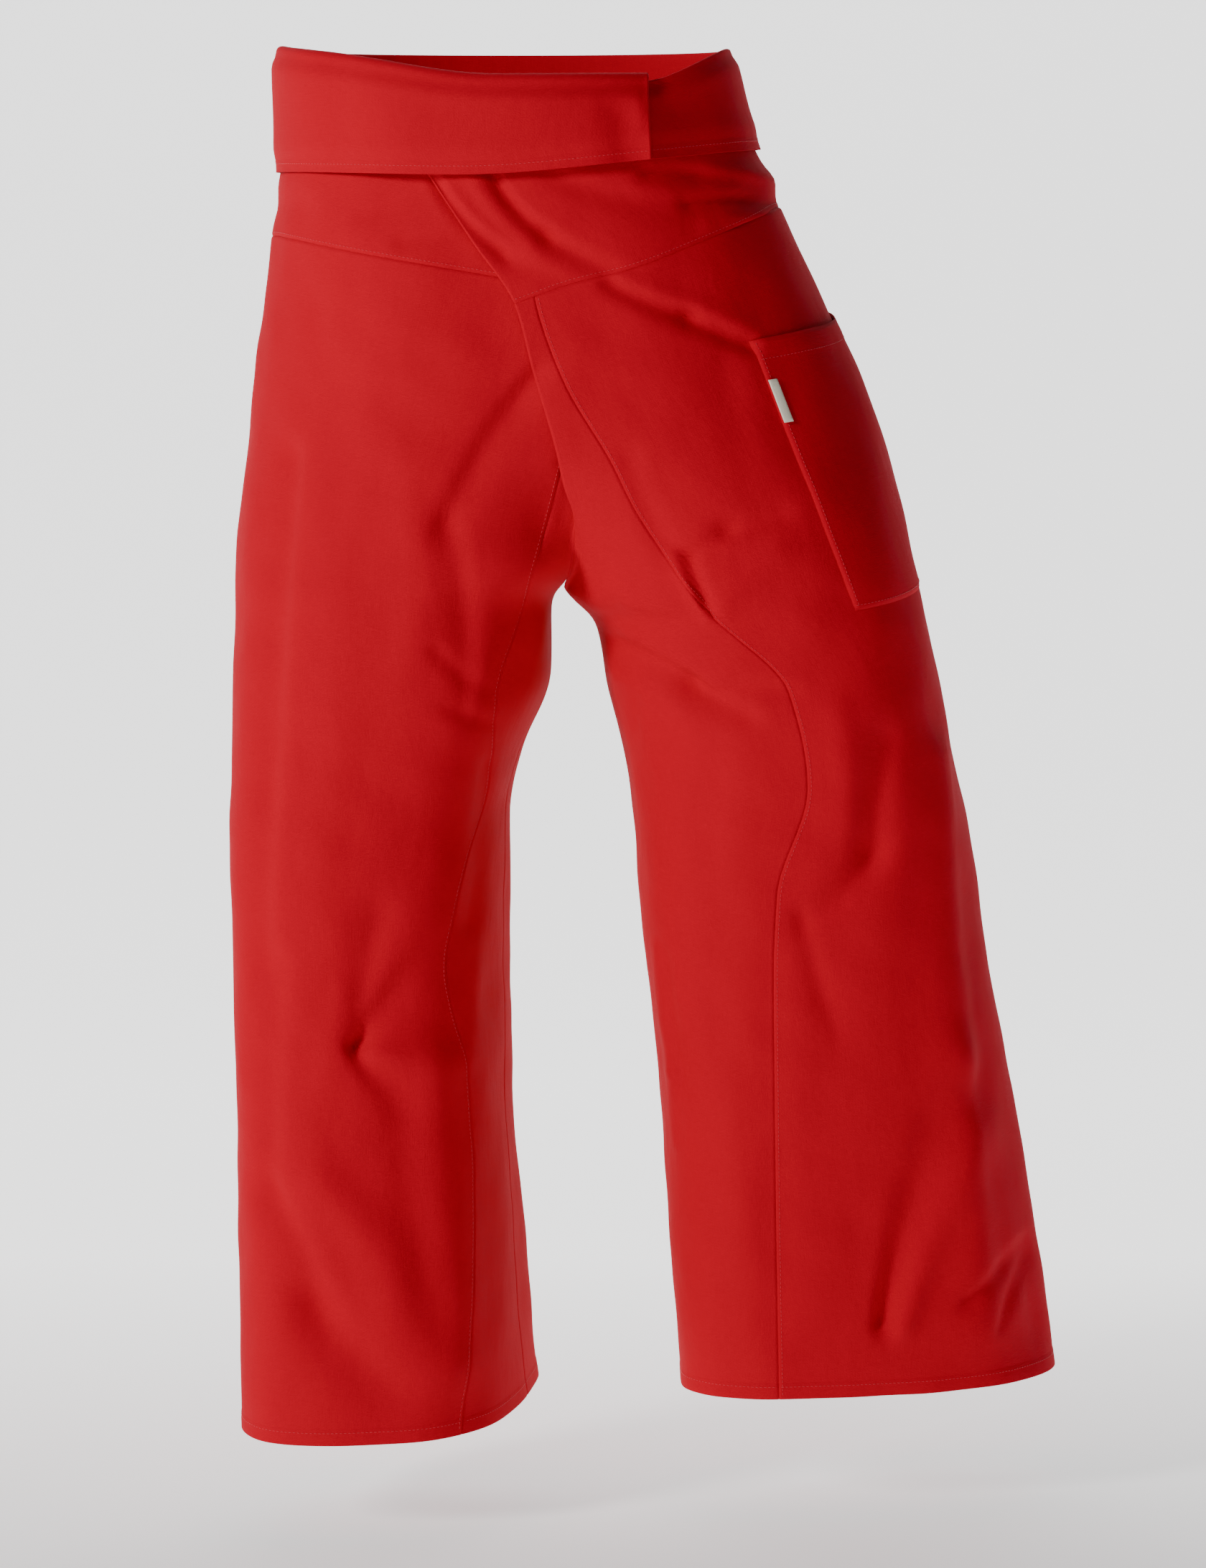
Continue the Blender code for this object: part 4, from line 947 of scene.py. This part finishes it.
def stitch_row(points, normal, closed=False):
    """Centres, directions and normals of the stitches along a line."""
    settings = bpy.context.scene.pants
    if closed:
        points = np.concatenate([points, points[:1]])
        normal = np.concatenate([normal, normal[:1]])
    run = np.concatenate([[0.0], np.cumsum(np.linalg.norm(np.diff(points, axis=0), axis=1))])
    pitch, half = settings.stitch_pitch, settings.stitch_length / 2
    centres = np.arange(pitch, run[-1] - pitch, pitch)

    def at(s, values):
        return np.stack([np.interp(s, run, values[:, k]) for k in range(3)], axis=1)

    a, b = at(centres - half, points), at(centres + half, points)
    up = unit(at(centres, normal))
    return (a + b) / 2, b - a, up


# A stitch's rings from end to end: place along it, size and lift, in its length and radius.
STITCH_RINGS = ((-0.5, 0.35, -0.9), (-0.3, 1.0, 0.35), (0.3, 1.0, 0.35), (0.5, 0.35, -0.9))
STITCH_SIDES = 5
SHORTEST_STITCH = 0.5 * MM


def stitches(name, lines):
    """One object of short raised threads along lines."""
    settings = bpy.context.scene.pants
    rows = [stitch_row(*line) for line in lines]
    middle, run, up = (np.concatenate([r[k] for r in rows]) for k in range(3))
    keep = np.linalg.norm(run, axis=1) > SHORTEST_STITCH
    middle, run, up = middle[keep], run[keep], up[keep]
    side = unit(np.cross(up, run))
    radius = settings.thread_size / 2
    verts = []
    for where, size, lift in STITCH_RINGS:
        for k in range(STITCH_SIDES):
            turn = math.tau * k / STITCH_SIDES
            verts.append(middle + run * where + up * radius * (lift + size * math.cos(turn))
                         + side * radius * size * math.sin(turn))
    count = len(middle)
    verts = np.stack(verts, axis=1).reshape(-1, 3)
    each = STITCH_SIDES * len(STITCH_RINGS)
    quads = []
    for r in range(len(STITCH_RINGS) - 1):
        low, high = r * STITCH_SIDES, (r + 1) * STITCH_SIDES
        for k in range(STITCH_SIDES):
            n = (k + 1) % STITCH_SIDES
            quads.append((low + k, low + n, high + n, high + k))
    faces = (np.array(quads)[None] + each * np.arange(count)[:, None, None]).reshape(-1, 4)
    graph = Graph(name + "_thread")
    graph.principled({"Base Color": (*settings.thread_colour, 1.0), "Roughness": 0.55})
    obj = make_object(name, verts, faces, None, graph.material)
    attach(obj, "root")
    return obj


def unknotted(points, weight):
    """A grid with its knots drawn out where weight is near 1; its border stays."""
    share = 0.5 * weight[1:-1, 1:-1, None]
    for _ in range(KNOT_ROUNDS):
        middle = (points[1:-1, :-2] + points[1:-1, 2:] + points[:-2, 1:-1] + points[2:, 1:-1]) / 4
        points[1:-1, 1:-1] += share * (middle - points[1:-1, 1:-1])
    return points


def leg_cloth(half, piece):
    """The cloth of a panel or inset with its creases, from the yoke seam to the hem."""
    table = half.table(piece)
    top = height_where(table, yoke_line(half.side))
    near_hem = at_height(table["y"], np.full(len(top), HEM_LEVEL[half.side]))
    bottom = HEM_LEVEL[half.side] + HEM_RISE[half.side] * near_hem
    down = [top - o for o in EDGE_OFFSETS]
    for count, end in ((ROWS_ABOVE, np.full_like(top, CROTCH)),
                       (ROWS_BELOW, bottom + HEM_OFFSETS[-1])):
        last = down[-1]
        down += [last + (end - last) * s for s in np.linspace(0.0, 1.0, count + 1)[1:]]
    down += [bottom + o for o in HEM_OFFSETS[-2::-1]]
    level = np.array(down)
    points = np.stack([at_height(table["x"], level), at_height(table["y"], level), level], -1)
    sign = -1.0 if half.side == "left" else 1.0
    normal = grid_normal(points) * sign
    distance = at_height(table["distance"], level)
    out = outward(points, normal)
    height = relief(points[..., 0], level, out[..., 1]) + sway(*np.moveaxis(points, -1, 0))
    calm = np.exp(-((points[..., 0] - CALM_X) / CALM_WIDTH) ** 4
                  - ((level - CALM_Z) / CALM_HEIGHT) ** 4) * (points[..., 1] < 0.0)
    height = height * (1.0 - calm)
    from_low, from_high = distance - distance[:, :1], distance[:, -1:] - distance
    tuck = edge_fall(from_low) + edge_fall(from_high) + edge_fall(top - level)
    hem = hem_relief(level - bottom, HEM_DEPTH, HEM_OFFSETS[HEM_STITCH])
    points = points + out * (height[..., None]) + normal * (tuck + hem)[..., None]
    if piece == "inset_front":
        points = unknotted(points, calm)
    facing = grid_normal(points) * sign
    points = points + facing * bpy.context.scene.pants.cloth_thickness / 2
    return Cloth(points, facing)


def waistband_cloth(halves):
    """Yoke and fold-over in one band with the pleat in it, folded out at the top."""
    pitch = PLEAT[0][4]
    grids = {"points": [], "out": [], "height": [], "tuck": []}
    for side in ("left", "right"):
        table = halves[side].table("yoke")
        seam = height_where(table, yoke_line(side))
        top, edge = height_where(table, fold_line), height_where(table, flap_edge)
        rows = {key: [] for key in grids}

        def add(point, out, height, tuck):
            """Keep one row of the band."""
            for key, value in zip(grids, (point, out, height, tuck)):
                rows[key].append(value)

        def base(level):
            """Points, outward directions and layers of the waist at heights."""
            x, y = at_height(table["x"], level), at_height(table["y"], level)
            layer = at_height(table["layer"], level)[:, None]
            return np.stack([x, y, level], -1), loop_direction(x, y, level), layer

        down = [seam + o for o in EDGE_OFFSETS]
        down += [down[-1] + (top - down[-1]) * s
                 for s in np.linspace(0.0, 1.0, YOKE_ROWS + 1)[1:]]
        for level in down:
            point, out, layer = base(level)
            height = relief(point[:, 0], level, out[:, 1]) + sway(*point.T)
            height = np.where(height > 0.0, height * smooth((-0.042 - level) / 0.018),
                              height * smooth((-0.025 - level) / 0.02))
            bulge = sum(high * np.exp(-((level - z) / wide) ** 2)
                        for z, wide, high in SIDE_BULGES[side])
            height = height + bulge * smooth((np.abs(out[:, 0]) - 0.35) / 0.5)
            add(point, out, height, edge_fall(level - seam))
        at_top, out, layer = base(top)
        up = np.array([0.0, 0.0, 1.0])
        radius = FOLD_GAP / 2 + layer * pitch
        for r in range(1, ARC_ROWS):
            turn = math.pi * r / ARC_ROWS
            point = (at_top + out * (layer * pitch + FOLD_GAP / 2 - radius * math.cos(turn))
                     + up * radius * math.sin(turn))
            add(point, out, np.zeros(len(top)), np.zeros(len(top)))
        fall = top - edge
        depths = [fall * s for s in np.linspace(0.0, 1.0, FLAP_ROWS + 1)[:-1]]
        depths = [d * (fall - FLAP_HEM_OFFSETS[-1]) / fall for d in depths]
        depths += [fall - o for o in FLAP_HEM_OFFSETS[::-1]]
        for depth in depths:
            point, out, layer = base(top - depth)
            above = fall - depth
            back = TUCK_BACK * smooth(1.0 - above / TUCK_HEIGHT)
            off = (standoff(depth) - back)[:, None] + 2.0 * layer * pitch
            hem = hem_relief(above, FLAP_HEM_DEPTH, FLAP_HEM_OFFSETS[FLAP_STITCH])
            add(point + out * off, out, flap_relief(point, depth) + hem, np.zeros(len(top)))
        for key in grids:
            grids[key].append(np.array(rows[key]))
    joined = {key: np.concatenate([a[:, :-1], b[:, :0:-1]], axis=1)
              for key, (a, b) in grids.items()}
    points = joined["points"] + joined["out"] * joined["height"][..., None]
    normal = grid_normal(points, True)
    points = points + normal * joined["tuck"][..., None]
    return Cloth(points + normal * bpy.context.scene.pants.cloth_thickness / 2, normal, True)


def flap_relief(point, depth):
    """Unevenness of the fold-over, growing from its top fold."""
    x, y, z = point.T
    wave = np.sin(31.0 * x + 12.0 * z) + 0.6 * np.sin(73.0 * x - 40.0 * z + 1.0)
    height = 0.5 * MM * wave
    for middle, wide, high in FLAP_FOLDS:
        across = x - middle - 0.25 * depth
        height = height + high * np.exp(-(across / wide) ** 2) * (y < 0.0)
    return height * smooth(depth / 0.025)


def laid_cloth(half, top, bottom, start, width, lift, rows, cols):
    """Points and normals of a patch on the left leg panel, moved out from it by lift.

    start and width run back from the pocket's front edge.
    """
    across = np.linspace(0.0, 1.0, cols + 1)
    front_edge = np.linspace(top, bottom, rows + 1)
    level = front_edge[:, None] + POCKET_RISE * width * across
    edge_x = POCKET_TOP_X + (POCKET_BOTTOM_X - POCKET_TOP_X) * (
        (front_edge - POCKET_TOP) / (POCKET_BOTTOM - POCKET_TOP))
    loop = half.loop
    place = (level - LEVELS[0]) / LEVEL_STEP
    points = np.zeros(level.shape + (3,))
    for r, c in np.ndindex(level.shape):
        low = int(np.clip(place[r, c], 0, len(LEVELS) - 2))
        ends = []
        for k in (low, low + 1):
            row = {key: loop[key][k:k + 1] for key in ("x", "run")}
            edge = reach_x(half.side, row, [edge_x[r]], "front")[0]
            reach = edge + start + width * across[c]
            ends.append([np.interp(reach, loop["run"][k], loop[key][k]) for key in ("x", "y")])
        t = place[r, c] - low
        points[r, c, :2] = np.array(ends[0]) * (1.0 - t) + np.array(ends[1]) * t
        points[r, c, 2] = level[r, c]
    normal = -grid_normal(points)
    height = relief(points[..., 0], level, normal[..., 1]) + sway(*np.moveaxis(points, -1, 0))
    points = points + normal * (height + lift)[..., None]
    return points, -grid_normal(points)


# The tables of both halves and the cloths built so far, by name.
HALVES = {}
CLOTHS = {}


def halves():
    """Both halves' tables, worked out once."""
    if not HALVES:
        HALVES.update({side: Half(side) for side in ("left", "right")})
    return HALVES


def need(*names):
    """Cloths built before this one."""
    missing = [n for n in names if n not in CLOTHS]
    if missing:
        raise RuntimeError("build these pieces first: " + ", ".join(missing))
    return [CLOTHS[n] for n in names]


class PantsSettings(bpy.types.PropertyGroup):
    cloth_colour: FloatVectorProperty(
        name="Cloth colour", description="Colour of the red cotton", subtype="COLOR", size=3,
        min=0.0, max=1.0, default=(0.560, 0.0, 0.0150))
    thread_colour: FloatVectorProperty(
        name="Thread colour", description="Colour of the sewing thread", subtype="COLOR", size=3,
        min=0.0, max=1.0, default=(0.640, 0.010, 0.030))
    label_colour: FloatVectorProperty(
        name="Label colour", description="Colour of the blank label", subtype="COLOR", size=3,
        min=0.0, max=1.0, default=(0.92, 0.83, 0.68))
    cloth_thickness: FloatProperty(
        name="Cloth thickness", description="Thickness of the shown cloth", subtype="DISTANCE",
        unit="LENGTH", min=0.0002, max=0.002, default=0.0008)
    weave_size: FloatProperty(
        name="Weave size", description="Width of two threads of the weave", subtype="DISTANCE",
        unit="LENGTH", min=0.0004, max=0.004, default=0.0011)
    bump_strength: FloatProperty(
        name="Weave relief", description="Strength of the weave's relief", min=0.0, max=1.0,
        default=0.55)
    sheen: FloatProperty(
        name="Sheen", description="Soft shine of the cotton's fuzz", min=0.0, max=1.0,
        default=0.02)
    stitch_pitch: FloatProperty(
        name="Stitch pitch", description="Distance from one stitch to the next",
        subtype="DISTANCE", unit="LENGTH", min=0.001, max=0.01, default=0.0032)
    stitch_length: FloatProperty(
        name="Stitch length", description="Length of one stitch that shows",
        subtype="DISTANCE", unit="LENGTH", min=0.0005, max=0.01, default=0.0023)
    thread_size: FloatProperty(
        name="Thread size", description="Thickness of the thread", subtype="DISTANCE",
        unit="LENGTH", min=0.0001, max=0.002, default=0.0005)
    key_power: FloatProperty(
        name="Key light", description="Power of the main light at the front left",
        subtype="POWER", unit="POWER", min=0.0, max=2000.0, default=96.0)
    fill_power: FloatProperty(
        name="Fill light", description="Power of the soft light from the front",
        subtype="POWER", unit="POWER", min=0.0, max=2000.0, default=4.0)
    backdrop_power: FloatProperty(
        name="Room light", description="Strength of the light from all round",
        min=0.0, max=10.0, default=0.05)
    floor_glow: FloatProperty(
        name="Backdrop glow", description="Own light of the floor and backdrop",
        min=0.0, max=10.0, default=1.6)
    floor_height: FloatProperty(
        name="Floor height", description="Height of the floor under the garment",
        subtype="DISTANCE", unit="LENGTH", min=-3.0, max=-1.0, default=-1.06)


class PANTS_OT_waistband(bpy.types.Operator):
    """Yoke and fold-over, folded out at the top"""
    bl_idname = "pants.waistband"
    bl_label = "Waistband"

    def execute(self, context):
        CLOTHS["waistband"] = waistband_cloth(halves())
        show(CLOTHS["waistband"], "waistband_cloth", "waistband")
        return {"FINISHED"}


class PANTS_OT_legs(bpy.types.Operator):
    """Leg panels and the narrow insets between them"""
    bl_idname = "pants.legs"
    bl_label = "Legs"

    def execute(self, context):
        for side, half in halves().items():
            for piece, node in (("panel", "leg_panel"), ("inset_front", "inset_front"),
                                ("inset_back", "inset_back")):
                name = f"{node}_{side}"
                CLOTHS[name] = leg_cloth(half, piece)
                show(CLOTHS[name], name + "_cloth", name)
        return {"FINISHED"}


class PANTS_OT_pocket(bpy.types.Operator):
    """Patch pocket with its blank label"""
    bl_idname = "pants.pocket"
    bl_label = "Pocket"

    def execute(self, context):
        thick = context.scene.pants.cloth_thickness
        points, normal = laid_cloth(halves()["left"], POCKET_TOP, POCKET_BOTTOM, 0.0,
                                    POCKET_WIDTH, POCKET_LIFT, POCKET_ROWS, POCKET_COLUMNS)
        rows, cols = points.shape[:2]
        down = np.linspace(0.0, POCKET_TOP - POCKET_BOTTOM, rows)[:, None]
        along_edge = np.linspace(0.0, POCKET_WIDTH, cols)[None, :]
        hem = POCKET_HEM_RAISE * smooth((POCKET_HEM - down) / POCKET_HEM_STEP)
        near = np.minimum(np.minimum(along_edge, POCKET_WIDTH - along_edge),
                          (POCKET_TOP - POCKET_BOTTOM) - down)
        rim = POCKET_RIM * np.exp(-(near / POCKET_RIM_WIDTH) ** 2)
        mouth = POCKET_MOUTH * np.exp(-(down / POCKET_MOUTH_DEPTH) ** 2)
        mouth = mouth * np.sin(np.pi * along_edge / POCKET_WIDTH)
        points = points + normal * (hem - rim + mouth)[..., None]
        CLOTHS["pocket"] = Cloth(points, -grid_normal(points))
        show(CLOTHS["pocket"], "pocket_cloth", "pocket")
        points, normal = laid_cloth(halves()["left"], LABEL_TOP, LABEL_BOTTOM, 0.5 * MM,
                                    LABEL_WIDTH, LABEL_LIFT, LABEL_ROWS, LABEL_COLUMNS)
        across = np.linspace(-1.0, 1.0, points.shape[1])[None, :]
        points = points + normal * (LABEL_CROWN * (1.0 - across ** 2))[..., None]
        CLOTHS["label"] = Cloth(points, -grid_normal(points), thick=thick * LABEL_THIN)
        show(CLOTHS["label"], "label_tape", "label")
        return {"FINISHED"}


class PANTS_OT_ties(bpy.types.Operator):
    """Flat ties round the waist inside the fold-over"""
    bl_idname = "pants.ties"
    bl_label = "Ties"

    def execute(self, context):
        for side, sign, lift in TIE_LIFTS:
            level = TIE_MIDDLE + TIE_WIDTH * np.linspace(0.5, -0.5, TIE_ROWS)
            s = section("left", level)
            begin = ring_angle(s, s["x"] * 0.0 + sign * 0.001)
            end = ring_angle(s, s["x"] * 0.0 - sign * TIE_END)
            last = -end if side == "left" else 2.0 * math.pi - end
            angle = begin + (last - begin) * np.linspace(0.0, 1.0, TIE_COLUMNS)[None, :]
            x, y = ring_point(s, angle)
            z = np.broadcast_to(level[:, None], x.shape)
            out = np.stack([loop_direction(x[r], y[r], z[r]) for r in range(TIE_ROWS)])
            points = np.stack([x, y, z], -1) + out * (lift + WALL / 2)
            CLOTHS["tie_" + side] = Cloth(points, out)
            show(CLOTHS["tie_" + side], f"tie_{side}_tape", "tie_" + side)
        return {"FINISHED"}


class PANTS_OT_stitching(bpy.types.Operator):
    """Rows of stitches along the seams and hems"""
    bl_idname = "pants.stitching"
    bl_label = "Stitching"

    def execute(self, context):
        band, pocket = need("waistband", "pocket")

        def row(cloth, r):
            return cloth.points[r], cloth.normal[r], cloth.closed

        def far_row(cloth, r):
            return cloth.points[r] - cloth.normal[r] * cloth.thick, -cloth.normal[r], True

        def column_of(cloth, c, first=0, last=None):
            return cloth.points[first:last, c], cloth.normal[first:last, c]

        stitches("waist_stitches", [row(band, SEAM_STITCH), far_row(band, -1 - FLAP_STITCH)])
        lines = []
        for side in ("left", "right"):
            panel, front, back = need(f"leg_panel_{side}", f"inset_front_{side}",
                                      f"inset_back_{side}")
            lines += [column_of(panel, SEAM_STITCH), column_of(panel, -1 - SEAM_STITCH)]
            lines += [row(c, -1 - HEM_STITCH) for c in (panel, front, back)]
        stitches("leg_stitches", lines)
        stitches("pocket_stitches", [column_of(pocket, 1), column_of(pocket, -2),
                                     row(pocket, -2), row(pocket, POCKET_HEM_ROW)])
        return {"FINISHED"}


LIGHTS = (
    ("key", (-2.6, -2.2, 0.9), (0.0, 0.0, -0.45), 0.9, "key_power", 1.0, (1.0, 0.985, 0.97)),
    ("fill", (1.6, -3.4, 0.2), (0.0, 0.0, -0.5), 2.4, "fill_power", 1.0, (0.97, 0.98, 1.0)),
    ("rim", (-2.4, 1.2, 0.8), (0.0, 0.0, -0.4), 1.4, "fill_power", 0.9, (1.0, 1.0, 1.0)),
)
CAMERA_PLACE, CAMERA_DOWN, CAMERA_LENS = (0.0695, -4.0, -0.10), 5.795, 122.44
# The floor turns up to a backdrop: Y of its front and of its turn, radius, top and half width.
FLOOR_FRONT, FLOOR_TURN, FLOOR_RADIUS, FLOOR_TOP, FLOOR_SIDE = -12.0, 2.0, 2.0, 9.0, 14.0
FLOOR_TURN_POINTS = 13
# The backdrop's glow rises to the back and falls to both sides, per metre.
GLOW_RISE, GLOW_MIDDLE, GLOW_LEAST = 0.55, 0.45, 0.30
GLOW_FALL, GLOW_WIDE, GLOW_SIDES = 0.30, 1.35, 0.25


class PANTS_OT_stage(bpy.types.Operator):
    """Pale floor, soft lights and the camera of the photograph"""
    bl_idname = "pants.stage"
    bl_label = "Stage"

    def execute(self, context):
        settings = context.scene.pants
        graph = Graph("pale_floor")
        place = graph.node("ShaderNodeTexCoord", output="Object")
        across, along_floor = graph.split(place)
        glow = along_floor * GLOW_RISE + GLOW_MIDDLE
        glow = glow.math("MAXIMUM", GLOW_LEAST).math("MINIMUM", 1.0)
        sides = GLOW_WIDE - across.math("ABSOLUTE") * GLOW_FALL
        glow = glow * sides.math("MAXIMUM", GLOW_SIDES).math("MINIMUM", 1.0)
        graph.principled({"Base Color": (0.90, 0.90, 0.90, 1.0), "Roughness": 0.9,
                          "Emission Color": graph.tint((1.0, 1.0, 1.0), glow)})
        graph.shader.inputs["Emission Strength"].default_value = settings.floor_glow
        turn = np.linspace(0.0, math.pi / 2, FLOOR_TURN_POINTS)
        rim = [(FLOOR_FRONT, 0.0)]
        rim += [(FLOOR_TURN + FLOOR_RADIUS * math.sin(t), FLOOR_RADIUS * (1.0 - math.cos(t)))
                for t in turn]
        rim += [(FLOOR_TURN + FLOOR_RADIUS, FLOOR_TOP)]
        corners = [(x, y, settings.floor_height + z)
                   for y, z in rim for x in (-FLOOR_SIDE, FLOOR_SIDE)]
        faces = [(2 * i, 2 * i + 1, 2 * i + 3, 2 * i + 2) for i in range(len(rim) - 1)]
        floor = make_object("floor", corners, faces, None, graph.material)
        for name, place, aim, width, power, share, colour in LIGHTS:
            light = bpy.data.lights.new(name, "AREA")
            light.shape, light.size = "DISK", width
            light.energy, light.color = getattr(settings, power) * share, colour
            obj = bpy.data.objects.new(name, light)
            obj.location = place
            toward = Vector(aim) - Vector(place)
            obj.rotation_euler = toward.to_track_quat("-Z", "Y").to_euler()
            context.collection.objects.link(obj)
        world = bpy.data.worlds.new("studio")
        world.use_nodes = True
        shader = world.node_tree.nodes["Background"]
        shader.inputs["Color"].default_value = (1.0, 1.0, 1.0, 1.0)
        shader.inputs["Strength"].default_value = settings.backdrop_power
        context.scene.world = world
        camera = bpy.data.cameras.new("photo_camera")
        camera.sensor_width, camera.lens = 36.0, CAMERA_LENS
        holder = bpy.data.objects.new("photo_camera", camera)
        holder.location = CAMERA_PLACE
        holder.rotation_euler = (math.radians(90.0 - CAMERA_DOWN), 0.0, 0.0)
        context.collection.objects.link(holder)
        context.scene.camera = holder
        return {"FINISHED"}


OPERATORS = (PANTS_OT_waistband, PANTS_OT_legs, PANTS_OT_pocket, PANTS_OT_ties,
             PANTS_OT_stitching, PANTS_OT_stage)


class VIEW3D_PT_pants(bpy.types.Panel):
    bl_label = "Fisherman Pants"
    bl_idname = "VIEW3D_PT_pants"
    bl_space_type = "VIEW_3D"
    bl_region_type = "UI"
    bl_category = "Pants"

    def draw(self, context):
        settings = context.scene.pants
        for name in PantsSettings.__annotations__:
            self.layout.prop(settings, name)
        for operator in OPERATORS:
            self.layout.operator(operator.bl_idname)


CLASSES = (PantsSettings, *OPERATORS, VIEW3D_PT_pants)


def register():
    for item in CLASSES:
        bpy.utils.register_class(item)
    bpy.types.Scene.pants = PointerProperty(type=PantsSettings)


def unregister():
    del bpy.types.Scene.pants
    for item in reversed(CLASSES):
        bpy.utils.unregister_class(item)


def main():
    register()
    bpy.ops.pants.waistband()
    bpy.ops.pants.legs()
    bpy.ops.pants.pocket()
    bpy.ops.pants.ties()
    bpy.ops.pants.stitching()
    bpy.ops.pants.stage()


if __name__ == "__main__":
    main()
